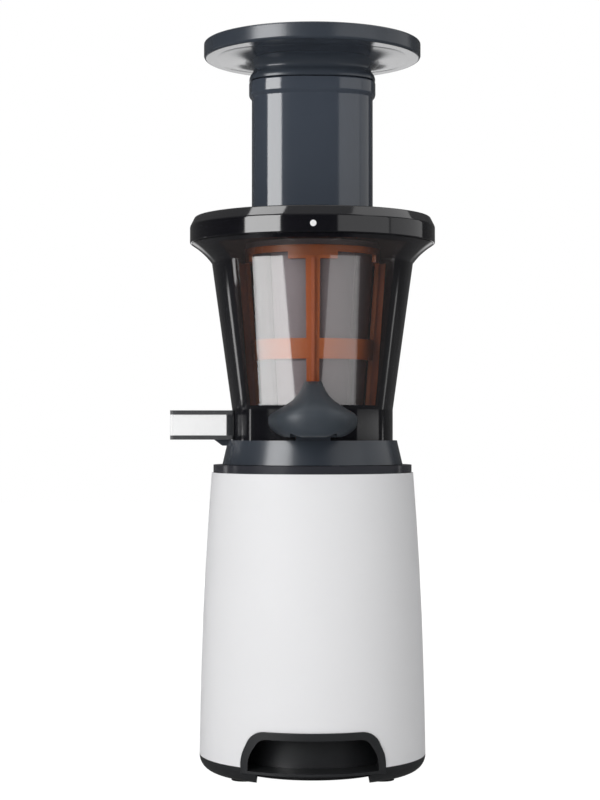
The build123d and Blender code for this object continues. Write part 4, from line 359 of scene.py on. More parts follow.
@dataclass(frozen=True)
class Metal(Finish):
    """Bare metal with fine lines round the Z axis.

    Attributes:
        fineness: scale of the lines.
        depth: height of the lines in metres.
        pitch: height of one sheet of a stack in metres, or 0 for a solid piece.
    """

    fineness: float = 9000.0
    depth: float = 0.000004
    pitch: float = 0.0

    def feeds(self, mixer: Mixer) -> dict[str, object]:
        """Works out what feeds the shader besides its roughness.

        Args:
            mixer: nodes of the material.

        Returns:
            Sockets and constants, by input.
        """
        brushing = mixer.place(Effect.BRUSHING, Fineness=self.fineness)
        colour = mixer.mix(brushing["Tone"], shade(self.colour, 0.9), shade(self.colour))
        if self.pitch:
            layers = mixer.place(Effect.LAYERS, Pitch=self.pitch)
            colour = mixer.mix(layers["Line"], colour, shade(self.colour, 0.35))
        return {"Base Color": colour,
                "Metallic": 1.0,
                "Normal": mixer.bump(brushing["Height"], self.depth)}


@dataclass(frozen=True)
class PerforatedSteel(Finish):
    """Thin steel sheet with staggered rows of fine holes.

    Attributes:
        around: number of holes in one row.
        pitch: height of one row in metres.
        size: radius of a hole as a share of the pitch.
        depth: depth of a hole in metres.
    """

    around: float = 260.0
    pitch: float = 0.0008
    size: float = 0.22
    depth: float = 0.00004

    def feeds(self, mixer: Mixer) -> dict[str, object]:
        """Works out what feeds the shader besides its roughness.

        Args:
            mixer: nodes of the material.

        Returns:
            Sockets and constants, by input.
        """
        numbers = {"Around": self.around, "Pitch": self.pitch, "Size": self.size}
        hole = mixer.place(Effect.PERFORATION, **numbers)["Hole"]
        return {"Base Color": mixer.mix(hole, shade(self.colour), shade(self.colour, 0.55)),
                "Metallic": 0.3,
                "Normal": mixer.bump(hole, self.depth, 0.3, True)}


class Look(Enum):
    """Finishes of the record's material slots, and at the end some that vary a slot's own."""

    SHELL_WHITE = Plastic((0.80, 0.80, 0.812), 0.45, 0.05, 1500.0, 0.000002, 0.006, 1.18)
    DECK_GREY = Plastic((0.030, 0.031, 0.038), 0.16, 0.06, 1400.0, 0.000005)
    TRAY_GREY = Plastic((0.019, 0.020, 0.022), 0.36, 0.1, 1100.0, 0.00002)
    SLATE_PLASTIC = Plastic((0.050, 0.060, 0.078), 0.09, 0.04, 1500.0, 0.000003, 0.04, 1.55)
    BLACK_GLOSS = Plastic((0.006, 0.006, 0.008), 0.07, 0.03, 1500.0, 0.000002, 0.04, 1.55)
    CLEAR_PLASTIC = ClearPlastic((0.80, 0.81, 0.82))
    SMOKE_CLEAR = ClearPlastic((0.030, 0.018, 0.017), 0.03, facing=0.15, edge=0.72, ior=2.9)
    STEEL_SCREEN = PerforatedSteel((0.32, 0.275, 0.29), 0.5)
    STEEL = Metal((0.60, 0.60, 0.62), 0.25)
    AMBER_PLASTIC = Plastic((0.62, 0.165, 0.05), 0.22, 0.08, 900.0, 0.000004, 0.1)
    ORANGE_SILICONE = Plastic((0.60, 0.15, 0.05), 0.45, 0.1, 700.0)
    GREY_SILICONE = Plastic((0.22, 0.22, 0.23), 0.5, 0.1, 700.0)
    RUBBER_BLACK = Plastic((0.016, 0.016, 0.016), 0.6, 0.15, 800.0, 0.00002)
    INNER_PLASTIC = Plastic((0.45, 0.45, 0.42), 0.4, 0.1, 900.0)
    AUGER_PLASTIC = Plastic((0.022, 0.025, 0.028), 0.3, 0.1, 1000.0)
    LAMINATIONS = Metal((0.25, 0.26, 0.28), 0.4, pitch=0.001)
    WINDING_COPPER = Metal((0.55, 0.22, 0.09), 0.35, pitch=0.0012)
    BEARING_BRONZE = Metal((0.50, 0.36, 0.16), 0.35)
    MOTOR_ALLOY = Metal((0.62, 0.62, 0.64), 0.42, fineness=3000.0, depth=0.00001)
    BOARD_GREEN = Plastic((0.012, 0.09, 0.03), 0.3, 0.1, 500.0, 0.00002, 0.2)
    CAPACITOR_CASE = Plastic((0.60, 0.60, 0.57))
    WHITE_MARK = Plastic((0.85, 0.85, 0.85))
    CLEAR_PLASTIC_EDGE = ClearPlastic((0.035, 0.037, 0.040), facing=0.80, edge=0.92)
    SLATE_SATIN = Plastic((0.038, 0.046, 0.059), 0.22, 0.05, 1500.0, 0.0000012)
    SLATE_SMOOTH = Plastic((0.040, 0.048, 0.062), 0.13, 0.03, 1500.0, 0.0000006, 0.04, 1.58)
    SLATE_MATT = Plastic((0.036, 0.045, 0.056), 0.46, 0.06, 1500.0, 0.000004, 0.04, 1.4)
    FRAME_GREY = Plastic((0.20, 0.175, 0.18), 0.40, 0.08, 1100.0, 0.000006)


NODE_LOOKS = {"bowl_base": Look.SLATE_SATIN, "screen_frame": Look.FRAME_GREY}


# -------- mesh helpers
def turned(outline: Outline, steps: int, closed: bool = True) -> bmesh.types.BMesh:
    """Spins an outline round the Z axis.

    Args:
        outline: (radius, height) points in millimetres.
        steps: number of steps in the full turn.
        closed: whether the last point joins the first; otherwise both lie on the axis.

    Returns:
        The spun mesh, in metres.
    """
    mesh = bmesh.new()
    points = [mesh.verts.new((radius * MM, 0.0, height * MM)) for radius, height in outline]
    edges = [mesh.edges.new(pair) for pair in zip(points, points[1:])]
    if closed:
        edges.append(mesh.edges.new((points[-1], points[0])))
    bmesh.ops.spin(mesh, geom=points + edges, cent=(0, 0, 0), axis=(0, 0, 1), angle=2 * math.pi,
                   steps=steps, use_merge=True, use_duplicate=False)
    bmesh.ops.remove_doubles(mesh, verts=mesh.verts, dist=0.5e-6)
    bmesh.ops.recalc_face_normals(mesh, faces=mesh.faces)
    return mesh


def drum(radius: float, low: float, high: float, steps: int = 96) -> bmesh.types.BMesh:
    """Makes a solid drum round the Z axis, between two heights in millimetres."""
    return turned([(0.0, low), (radius, low), (radius, high), (0.0, high)], steps, False)


def prism(corners: list[Point], along: Point) -> bmesh.types.BMesh:
    """Pushes a flat outline along a direction.

    Args:
        corners: corners of the flat face in millimetres.
        along: how far it is pushed, in millimetres.

    Returns:
        The closed mesh, in metres.
    """
    mesh = bmesh.new()
    face = mesh.faces.new([mesh.verts.new(Vector(corner) * MM) for corner in corners])
    pushed = bmesh.ops.extrude_face_region(mesh, geom=[face], use_keep_orig=True)
    moved = [item for item in pushed["geom"] if isinstance(item, bmesh.types.BMVert)]
    bmesh.ops.translate(mesh, verts=moved, vec=Vector(along) * MM)
    bmesh.ops.recalc_face_normals(mesh, faces=mesh.faces)
    return mesh


def fillet(before: Pair, corner: Pair, after: Pair, radius: float, steps: int = 7) -> Outline:
    """Rounds one corner of a flat outline.

    Args:
        before: point before the corner.
        corner: the corner.
        after: point after the corner.
        radius: radius of the rounding.
        steps: number of chords in it.

    Returns:
        Points of the arc, from the side of before to the side of after.
    """
    place = Vector(corner)
    back = (Vector(before) - place).normalized()
    on = (Vector(after) - place).normalized()
    half = back.angle(on) / 2
    centre = place + (back + on).normalized() * radius / math.sin(half)
    start = place + back * radius / math.tan(half) - centre
    turn = (math.pi - 2 * half) * (1 if back.x * on.y - back.y * on.x < 0 else -1)
    arms = [Matrix.Rotation(turn * step / steps, 2) @ start for step in range(steps + 1)]
    return [tuple(centre + arm) for arm in arms]


def squared(turn: float, power: float) -> Pair:
    """Point of a squared circle of radius 1, in a direction; a lower power squares it more."""
    return tuple(math.copysign(abs(part) ** power, part) for part in (math.cos(turn), math.sin(turn)))


def oval(half_width: float, half_depth: float, z: float, squareness: float = 2.7,
         count: int = 128) -> list[Point]:
    """Works out a level oval round the feed tube's axis.

    Args:
        half_width: half its width along X.
        half_depth: half its depth along Y.
        z: its height.
        squareness: 2 for an ellipse, more for squarer sides.
        count: number of points.

    Returns:
        Its points, in millimetres.
    """
    rim = [squared(2 * math.pi * step / count, 2 / squareness) for step in range(count)]
    return [(half_width * across, SETBACK + half_depth * along, z) for across, along in rim]


def lofted(rings: list[list[Point]], hollow: bool = False) -> bmesh.types.BMesh:
    """Bridges closed rings one after the other.

    Args:
        rings: the rings, each with as many points, in millimetres.
        hollow: whether the last ring joins the first; otherwise both ends are capped.

    Returns:
        The closed mesh, in metres.
    """
    mesh = bmesh.new()
    loops = []
    for points in rings:
        corners = [mesh.verts.new(Vector(point) * MM) for point in points]
        loops.append([mesh.edges.new(pair) for pair in zip(corners, corners[1:] + corners[:1])])
    pairs = list(zip(loops, loops[1:])) + ([(loops[-1], loops[0])] if hollow else [])
    for low, high in pairs:
        bmesh.ops.bridge_loops(mesh, edges=low + high)
    if not hollow:
        for loop in (loops[0], loops[-1]):
            bmesh.ops.contextual_create(mesh, geom=loop)
    bmesh.ops.recalc_face_normals(mesh, faces=mesh.faces)
    return mesh


def joined(meshes: list[bmesh.types.BMesh]) -> bmesh.types.BMesh:
    """Gathers several meshes in one.

    Args:
        meshes: meshes to use up.

    Returns:
        One mesh with all their faces.
    """
    gathered = bmesh.new()
    for mesh in meshes:
        data = bpy.data.meshes.new("spare")
        mesh.to_mesh(data)
        mesh.free()
        gathered.from_mesh(data)
        bpy.data.meshes.remove(data)
    return gathered


def box(low: Point, high: Point) -> bmesh.types.BMesh:
    """Makes a box.

    Args:
        low: lowest corner in millimetres.
        high: highest corner in millimetres.

    Returns:
        The box mesh, in metres.
    """
    mesh = bmesh.new()
    bmesh.ops.create_cube(mesh, size=1.0)
    bmesh.ops.scale(mesh, verts=mesh.verts, vec=[(b - a) * MM for a, b in zip(low, high)])
    bmesh.ops.translate(mesh, verts=mesh.verts, vec=[(a + b) / 2 * MM for a, b in zip(low, high)])
    return mesh


def soften(mesh: bmesh.types.BMesh, width: float, segments: int = 2, angle: float = 28.0) -> None:
    """Rounds the sharp edges of a mesh.

    Args:
        mesh: mesh to round.
        width: width of the rounding in millimetres.
        segments: number of faces across it.
        angle: smallest angle in degrees between the faces of a sharp edge.
    """
    limit = math.radians(angle)
    sharp = [edge for edge in mesh.edges if len(edge.link_faces) == 2 and edge.calc_face_angle(0.0) > limit]
    bmesh.ops.bevel(mesh, geom=sharp, offset=width * MM, offset_type="OFFSET", segments=segments,
                    profile=0.5, affect="EDGES", material=-1, clamp_overlap=True)


class Change(Enum):
    """What tools do to a mesh."""

    CUT = "DIFFERENCE"
    TRIM = "INTERSECT"


class Workshop:
    """Turns meshes into finished pieces of the scene."""

    def __init__(self) -> None:
        """Makes every material."""
        groups = Effects().groups
        self.materials = {}
        for look in Look:
            mixer = Mixer(look.name.lower(), groups)
            finish = look.value
            handling = mixer.place(Effect.HANDLING, Base=finish.roughness, Spread=finish.spread)
            mixer.feed(mixer.shader, {"Roughness": handling["Roughness"], **finish.feeds(mixer)})
            self.materials[look] = mixer.material

    @staticmethod
    def raw(mesh: bmesh.types.BMesh, name: str) -> bpy.types.Object:
        """Puts a mesh into a new object at the origin.

        Args:
            mesh: mesh to use up.
            name: name of the object.

        Returns:
            The object.
        """
        data = bpy.data.meshes.new(name)
        mesh.to_mesh(data)
        mesh.free()
        made = bpy.data.objects.new(name, data)
        bpy.context.scene.collection.objects.link(made)
        return made

    def changed(self, mesh: bmesh.types.BMesh, tools: list[bmesh.types.BMesh],
                change: Change = Change.CUT) -> bmesh.types.BMesh:
        """Cuts tools out of a mesh, or trims it to them.

        Args:
            mesh: mesh to change; it is used up.
            tools: meshes to change it with; they are used up.
            change: what the tools do.

        Returns:
            The changed mesh.
        """
        blank = self.raw(mesh, "blank")
        helpers = [self.raw(tool, "tool") for tool in tools]
        for helper in helpers:
            step = blank.modifiers.new("change", "BOOLEAN")
            step.operation = change.value
            step.solver = "EXACT"
            step.object = helper
        evaluated = blank.evaluated_get(bpy.context.evaluated_depsgraph_get())
        result = bmesh.new()
        result.from_mesh(evaluated.to_mesh())
        evaluated.to_mesh_clear()
        for spare in [blank, *helpers]:
            data = spare.data
            bpy.data.objects.remove(spare)
            bpy.data.meshes.remove(data)
        bmesh.ops.remove_doubles(result, verts=result.verts, dist=1e-6)
        bmesh.ops.dissolve_degenerate(result, edges=result.edges, dist=1e-6)
        return result

    def paint(self, piece: bpy.types.Object, look: Look, other: Look | None = None,
              chosen: Callable[[bpy.types.MeshPolygon], bool] | None = None) -> None:
        """Paints a piece.

        Args:
            piece: the piece.
            look: its finish.
            other: finish of the chosen faces.
            chosen: tells whether a face is chosen.
        """
        piece.data.materials.clear()
        piece.data.materials.append(self.materials[look])
        if other is not None:
            piece.data.materials.append(self.materials[other])
            for face in piece.data.polygons:
                face.material_index = int(chosen(face))

    def finish(self, mesh: bmesh.types.BMesh, name: str, slot: Look, body: str,
               node: str) -> bpy.types.Object:
        """Makes a finished piece of a mesh.

        Args:
            mesh: mesh to use up.
            name: name of the piece.
            slot: its material slot.
            body: CAD body that it rides on.
            node: CAD node that it stands for.

        Returns:
            The piece.
        """
        for face in mesh.faces:
            face.smooth = True
        made = self.raw(mesh, name)
        made.data.set_sharp_from_angle(angle=math.radians(40))
        even = made.modifiers.new("even_shading", "WEIGHTED_NORMAL")
        even.keep_sharp = True
        self.paint(made, slot)
        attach(made, body)
        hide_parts(node)
        LOG.info("piece %s: %d faces, rides on %s", name, len(made.data.polygons), body)
        return made


@dataclass
class SubAssembly:
    """Base of the sub-assemblies, whose sizes are in millimetres.

    Attributes:
        shop: workshop that makes its pieces.
    """

    shop: Workshop


# -------- power unit
@dataclass
class PowerUnit(SubAssembly):
    """White body shell with its finger recess."""

    shell_low: float = 10.5
    shell_high: float = 171.5
    shell_radii: tuple[float, ...] = (65.0, 64.5, 63.8, 62.9, 61.6, 60.0, 58.1)
    shell_wall: float = 2.8
    shell_flange: float = 8.4
    shell_edge: float = 0.5
    switch_opening: tuple[Point, Point] = ((-11.1, 50.0, 42.9), (11.1, 90.0, 77.1))
    inlet_opening: tuple[Point, Point] = ((-4.0, 50.0, 22.0), (4.0, 90.0, 30.0))
    recess_half_width: float = 40.0
    recess_low: float = 7.6
    recess_high: float = 31.0
    recess_corner: float = 10.5
    recess_lean: float = 6.5
    recess_waist: float = 9.0
    recess_bend: float = 20.0
    recess_sill: float = 1.5
    recess_frame: float = 4.0
    recess_proud: float = 0.8
    recess_back: float = 47.0
    recess_wall: float = 2.4
    recess_gap: float = 0.1
    recess_edge: float = 0.6
    tool_low: float = -5.0
    tool_high: float = 60.0
    tool_length: float = 90.0

    def build(self) -> None:
        """Builds its pieces."""
        self.build_shell()
        self.build_recess()

    def recess_tool(self, inset: float, low: float | None = None) -> bmesh.types.BMesh:
        """Makes the prism of the finger recess.

        Args:
            inset: how much smaller it is all round.
            low: height of its foot, where that is not the recess's own.

        Returns:
            The prism's mesh.
        """
        floor = self.recess_low + inset
        high = self.recess_high - inset
        foot = self.recess_half_width - inset
        head = foot - self.recess_lean
        waist = floor + self.recess_waist - inset
        side = [(foot, floor)]
        side += fillet((foot, floor), (foot, waist), (head, high), self.recess_bend - inset, 4)
        side += fillet((foot, waist), (head, high), (0.0, high), self.recess_corner - inset)
        mirrored = [(-x, z) for x, z in reversed(side)]
        level = floor if low is None else low
        corners = [(x, 0.0, level if z == floor else z) for x, z in side + mirrored]
        return prism(corners, (0.0, -self.tool_length, 0.0))

    def build_shell(self) -> None:
        """Builds the white shell, open for the recess, the switch and the mains inlet."""
        count = len(self.shell_radii) - 1
        heights = [self.shell_low + (self.shell_high - self.shell_low) * n / count for n in range(count + 1)]
        outer = list(zip(self.shell_radii, heights))
        inner = [(radius - self.shell_wall, height) for radius, height in reversed(outer)]
        inner[0] = (outer[-1][0] - self.shell_flange, outer[-1][1])
        tools = [self.recess_tool(-self.recess_gap, 2.0), box(*self.switch_opening), box(*self.inlet_opening)]
        mesh = self.shop.changed(turned(outer + inner, 180), tools)
        soften(mesh, self.shell_edge)
        self.shop.finish(mesh, "shell_dressed", Look.SHELL_WHITE, "power_unit", "body_shell")

    def build_recess(self) -> None:
        """Builds the moulding of the finger recess, with its proud frame."""
        front = drum(self.shell_radii[0] + self.recess_proud, self.recess_low, self.recess_high + 1, 180)
        mesh = self.shop.changed(front, [self.recess_tool(0.0)], Change.TRIM)
        behind = drum(self.recess_back - self.recess_wall, 0.0, self.tool_high)
        pocket = self.recess_tool(self.recess_frame, self.recess_low + self.recess_sill)
        pocket = self.shop.changed(pocket, [drum(self.recess_back, self.tool_low, self.tool_high)])
        mesh = self.shop.changed(mesh, [behind, pocket])
        soften(mesh, self.recess_edge)
        self.shop.finish(mesh, "recess_dressed", Look.TRAY_GREY, "power_unit", "grip_recess")


# -------- bowl
@dataclass
class BowlFront(SubAssembly):
    """Pulp hood, juice spout and screen of the bowl. A hood section is (height, half width, front)."""

    gallery_radius: float = 46.4
    gallery_top: float = 207.6
    drum_top_radius: float = 58.1
    drum_top: float = 292.0
    hood_sections: tuple[Point, ...] = (
        (192.0, 15.5, -80.4), (193.0, 18.4, -82.0), (194.5, 21.2, -82.9), (197.0, 23.8, -83.5),
        (199.5, 24.8, -83.8), (201.5, 25.0, -83.9), (203.4, 24.6, -83.8), (205.0, 23.2, -83.4),
        (206.4, 21.0, -82.7), (207.8, 18.3, -81.6), (209.4, 15.6, -79.9), (211.2, 13.0, -77.5),
        (213.2, 10.6, -74.4), (215.4, 8.6, -70.8), (217.8, 7.0, -66.8), (220.2, 5.8, -62.9),
        (222.6, 4.9, -58.9))
    hood_power: float = 0.74
    hood_steps: int = 40
    hood_root: float = 1.0
    mouth_low: Point = (-12.7, -79.0, 180.0)
    mouth_high: Point = (12.7, -60.8, 203.0)
    mouth_edge: float = 2.0
    spout_tip: float = -81.5
    spout_root: float = -45.4
    spout_half_width: float = 12.0
    spout_low: float = 190.4
    spout_high: float = 207.2
    spout_slab: float = 2.4
    spout_wall: float = 2.0
    spout_collar: float = -49.3
    gallery_tool: Pair = (180.0, 220.0)
    screen_low_radius: float = 29.0
    screen_high_radius: float = 35.5
    screen_high: float = 300.0
    screen_wall: float = 0.8

    def build(self) -> None:
        """Builds its pieces."""
        self.build_hood()
        self.build_spout()
        self.build_screen()

    def drum_radius(self, height: float) -> float:
        """Outer radius of the bowl at a height."""
        share = max(0.0, (height - self.gallery_top) / (self.drum_top - self.gallery_top))
        return self.gallery_radius + share * (self.drum_top_radius - self.gallery_radius)

    def hood_ring(self, height: float, half_width: float, front: float) -> list[Point]:
        """Outline of the hood at a height, with its back let into the bowl's wall.

        Args:
            height: the height.
            half_width: half the hood's width there.
            front: how far it reaches forward.

        Returns:
            Its points, in millimetres.
        """
        back = self.hood_root - math.sqrt(self.drum_radius(height) ** 2 - half_width ** 2)
        turns = [math.pi * step / self.hood_steps for step in range(self.hood_steps + 1)]
        arc = [squared(turn, self.hood_power) for turn in turns]
        return [(half_width * across, back + (front - back) * along, height) for across, along in arc]

    def build_hood(self) -> None:
        """Builds the bell-shaped hood of the pulp outlet with its downward mouth."""
        mouth = box(self.mouth_low, self.mouth_high)
        soften(mouth, self.mouth_edge, 3)
        bell = lofted([self.hood_ring(*section) for section in self.hood_sections])
        mesh = self.shop.changed(bell, [mouth])
        made = self.shop.finish(mesh, "hood_dressed", Look.SLATE_PLASTIC, "bowl_unit", "pulp_outlet")
        self.shop.paint(made, Look.SLATE_MATT)

    def build_spout(self) -> None:
        """Builds the clear spout, dark at its root and at the edges of its top and bottom."""
        half = self.spout_half_width
        ceiling = self.spout_high - self.spout_slab
        floor = self.spout_low + self.spout_slab
        slabs = joined([box((self.spout_tip, -half, low), (self.spout_root, half, high))
                        for low, high in ((self.spout_low, floor), (ceiling, self.spout_high))])
        walls = joined([box((self.spout_tip, low, floor), (self.spout_root, low + self.spout_wall, ceiling))
                        for low in (-half, half - self.spout_wall)])
        collar = self.spout_collar * MM
        for name, mesh in (("spout_slabs", slabs), ("spout_walls", walls)):
            mesh = self.shop.changed(mesh, [drum(self.gallery_radius, *self.gallery_tool)])
            bmesh.ops.bisect_plane(mesh, geom=[*mesh.verts, *mesh.edges, *mesh.faces],
                                   plane_co=Vector((collar, 0.0, 0.0)), plane_no=Vector((1.0, 0.0, 0.0)))
            made = self.shop.finish(mesh, name, Look.CLEAR_PLASTIC, "bowl_unit", "juice_spout")
            slab = name == "spout_slabs"
            self.shop.paint(made, Look.CLEAR_PLASTIC, Look.CLEAR_PLASTIC_EDGE, lambda face: (
                face.center.x > collar or (slab and abs(face.normal.y) > 0.9)))

    def build_screen(self) -> None:
        """Builds the steel screen as a thin cone."""
        low, high, wall = self.gallery_top, self.screen_high, self.screen_wall
        mesh = turned([(self.screen_low_radius, low), (self.screen_high_radius, high),
                       (self.screen_high_radius - wall, high), (self.screen_low_radius - wall, low)], 180)
        self.shop.finish(mesh, "screen_dressed", Look.STEEL_SCREEN, "bowl_unit", "juice_screen")


# -------- lid
@dataclass
class Lid(SubAssembly):
    """Lid with its rim, plug and feed tube."""

    rim_radius: float = 70.8
    rim_inner: float = 68.2
    low: float = 303.3
    bevel_low: float = 313.0
    top_radius: float = 68.0
    top: float = 318.5
    plate_low: float = 316.0
    cover_edge: float = 0.7
    plug_radius: float = 62.4
    plug_wall: float = 2.0
    plug_low: float = 306.0
    boss_radius: float = 8.45
    boss_bore: float = 6.05
    boss_low: float = 304.0
    tube_half_width: float = 35.5
    tube_half_depth: float = 26.0
    tube_wall: float = 2.8
    tube_top: float = 399.5
    lip: float = 1.6
    lip_height: float = 8.0
    shelf_low: Point = (-90.0, 10.0, 290.0)
    shelf_high: Point = (90.0, 90.0, 330.0)
    lugs: int = 4
    lug_half_angle: float = 8.0
    lug_height: float = 2.4
    lug_depth: float = 0.9
    lug_tool: Pair = (300.0, 320.0)
    lug_reach: float = 120.0
    mark_height: float = 308.15
    mark_radius: float = 1.75
    mark_depth: float = 1.4
    mark_inset: float = 0.58

    def build(self) -> None:
        """Builds its pieces."""
        self.build_cover()
        self.build_tube()
        self.build_mark()

    def build_cover(self) -> None:
        """Builds the rim and plate with the plug, the boss, the feed opening and the bayonet lugs."""
        top, plate = self.top, self.plate_low
        plug_inner = self.plug_radius - self.plug_wall
        mesh = turned([(0.0, top), (self.top_radius, top), (self.rim_radius, self.bevel_low),
                       (self.rim_radius, self.low), (self.rim_inner, self.low), (self.rim_inner, plate),
                       (self.plug_radius, plate), (self.plug_radius, self.plug_low),
                       (plug_inner, self.plug_low), (plug_inner, plate), (self.boss_radius, plate),
                       (self.boss_radius, self.boss_low), (self.boss_bore, self.boss_low),
                       (self.boss_bore, plate), (0.0, plate)], 192, False)
        soften(mesh, self.cover_edge, 3, 20.0)
        bore = (self.tube_half_width - self.tube_wall, self.tube_half_depth - self.tube_wall)
        opening = lofted([oval(*bore, z) for z in (plate - 20.0, top + 5.0)])
        opening = self.shop.changed(opening, [box(self.shelf_low, self.shelf_high)], Change.TRIM)
        parts = [self.shop.changed(mesh, [opening])]
        root, tip = self.rim_inner + 1.0, self.rim_inner - self.lug_depth
        low, high = self.low, self.low + self.lug_height
        tool_low, tool_high = self.lug_tool
        far = self.lug_reach / math.cos(math.radians(self.lug_half_angle))
        for index in range(self.lugs):
            middle = 45.0 + 360.0 * index / self.lugs
            turns = [math.radians(middle + side * self.lug_half_angle) for side in (-1, 1)]
            corners = [(far * math.cos(turn), far * math.sin(turn), tool_low) for turn in turns]
            wedge = prism([(0.0, 0.0, tool_low), *corners], (0.0, 0.0, tool_high - tool_low))
            strip = turned([(root, low), (root, high), (tip, high), (tip, low)], 192)
            parts.append(self.shop.changed(strip, [wedge], Change.TRIM))
        self.shop.finish(joined(parts), "lid_cover_dressed", Look.BLACK_GLOSS, "lid_unit", "lid")

    def build_tube(self) -> None:
        """Builds the oval feed tube with its foot and its lip."""
        foot, lip_low, top = self.top, self.tube_top - self.lip_height, self.tube_top
        lip, wall = self.lip, -self.tube_wall
        outside = [(0.8, foot - 0.4), (0.8, foot), (0.25, foot + 0.6), (0.0, foot + 1.6),
                   (0.0, lip_low - 1.8), (0.15, lip_low - 1.3), (lip - 0.2, lip_low + 0.3),
                   (lip, lip_low + 0.9), (lip, top - 0.9), (lip - 0.3, top - 0.3), (lip - 0.9, top)]
        inside = [(wall + 0.6, top), (wall, top - 0.6), (wall, foot - 0.4)]
        rings = [oval(self.tube_half_width + grow, self.tube_half_depth + grow, z)
                 for grow, z in outside + inside]
        self.shop.finish(lofted(rings, True), "feed_tube_dressed", Look.SLATE_PLASTIC, "lid_unit", "lid")

    def build_mark(self) -> None:
        """Builds the round alignment dot in the rim."""
        mesh = bmesh.new()
        bmesh.ops.create_cone(mesh, cap_ends=True, segments=40, radius1=self.mark_radius * MM,
                              radius2=self.mark_radius * MM, depth=self.mark_depth * MM)
        bmesh.ops.rotate(mesh, verts=mesh.verts, matrix=Matrix.Rotation(math.pi / 2, 3, "X"))
        bmesh.ops.translate(mesh, verts=mesh.verts,
                            vec=Vector((0.0, self.mark_inset - self.rim_radius, self.mark_height)) * MM)
        soften(mesh, 0.15, 2, 60.0)
        self.shop.finish(mesh, "mark_dressed", Look.WHITE_MARK, "lid_unit", "lid_mark")


# -------- pusher
@dataclass
class Pusher(SubAssembly):
    """Pusher with its stem, shoulder and wide round disc.

    A foot or neck level is (inset, rise): how much smaller than the stem or the shoulder it is, and
    its height over the stem's foot or the shoulder's. A dish level is (inset, drop) from the disc's top.
    """

    stem_half: Pair = (32.0, 22.5)
    stem_low: float = 322.0
    stem_top: float = 399.4
    foot: tuple[Pair, ...] = ((1.2, 0.0), (0.3, 0.4), (0.0, 1.4))
    shoulder_half: Pair = (37.0, 27.5)
    shoulder_low: float = 399.8
    neck: tuple[Pair, ...] = (
        (0.5, 0.0), (0.1, 0.3), (0.0, 1.0), (0.15, 2.2), (0.5, 3.2), (1.0, 4.0), (1.6, 4.7), (2.1, 5.4),
        (2.4, 6.2), (2.4, 7.1), (2.1, 8.1), (1.5, 9.1), (0.6, 10.1), (-0.6, 11.0), (-2.2, 11.8),
        (-4.2, 12.4), (-6.6, 12.95), (-9.4, 13.35), (-12.4, 13.58), (-15.4, 13.7), (-18.4, 13.76),
        (-19.4, 14.1))
    disc_low: float = 413.6
    disc_top: float = 423.0
    disc_radius: float = 63.6
    disc_wall: float = 2.5
    disc_bevel: Pair = (0.6, 1.6)
    disc_edge: float = 1.1
    cap_gap: float = 0.1
    cap_edge: float = 0.35
    dish: tuple[Pair, ...] = ((0.0, 2.5), (0.0, 0.3), (1.0, 0.2), (6.0, 0.5), (7.0, 1.0))
    dish_depth: float = 1.3

    def build(self) -> None:
        """Builds its pieces."""
        self.build_body()
        self.build_disc()
        self.build_cap()

    def build_body(self) -> None:
        """Builds the stem, the shoulder that rests on the feed tube and the flared neck."""
        levels = [(self.stem_half, inset, self.stem_low + rise) for inset, rise in self.foot]
        levels.append((self.stem_half, 0.0, self.stem_top))
        levels += [(self.shoulder_half, inset, self.shoulder_low + rise) for inset, rise in self.neck]
        mesh = lofted([oval(width - inset, depth - inset, z) for (width, depth), inset, z in levels])
        self.polish(mesh, "pusher_body")

    def polish(self, mesh: bmesh.types.BMesh, node: str) -> None:
        """Finishes the mesh that stands for a node in satin, with its level undersides smooth."""
        made = self.shop.finish(mesh, node + "_dressed", Look.SLATE_PLASTIC, "pusher", node)
        self.shop.paint(made, Look.SLATE_SATIN, Look.SLATE_SMOOTH, lambda face: face.normal.z < -0.9)

    @staticmethod
    def set_back(mesh: bmesh.types.BMesh) -> bmesh.types.BMesh:
        """Moves a mesh turned round Z back to the pusher's axis."""
        bmesh.ops.translate(mesh, verts=mesh.verts, vec=(0.0, SETBACK * MM, 0.0))
        return mesh

    def build_disc(self) -> None:
        """Builds the round dish with its rounded rim."""
        radius, low, top = self.disc_radius, self.disc_low, self.disc_top
        inner, floor = radius - self.disc_wall, low + self.disc_wall
        bevel_in, bevel_up = self.disc_bevel
        mesh = turned([(0.0, low), (radius - bevel_in, low), (radius, low + bevel_up), (radius, top),
                       (inner, top), (inner, floor), (0.0, floor)], 192, False)
        soften(mesh, self.disc_edge, 4)
        self.polish(self.set_back(mesh), "pusher_disc")

    def build_cap(self) -> None:
        """Builds the slightly dished cover on top."""
        rim = self.disc_radius - self.disc_wall - self.cap_gap
        levels = [(rim - inset, self.disc_top - drop) for inset, drop in self.dish]
        mesh = turned([(0.0, levels[0][1]), *levels, (0.0, self.disc_top - self.dish_depth)], 192, False)
        soften(mesh, self.cap_edge, 3, 8.0)
        made = self.shop.finish(self.set_back(mesh), "pusher_cap_dressed", Look.SLATE_PLASTIC, "pusher",
                                "pusher_cap")
        self.shop.paint(made, Look.SLATE_SATIN)


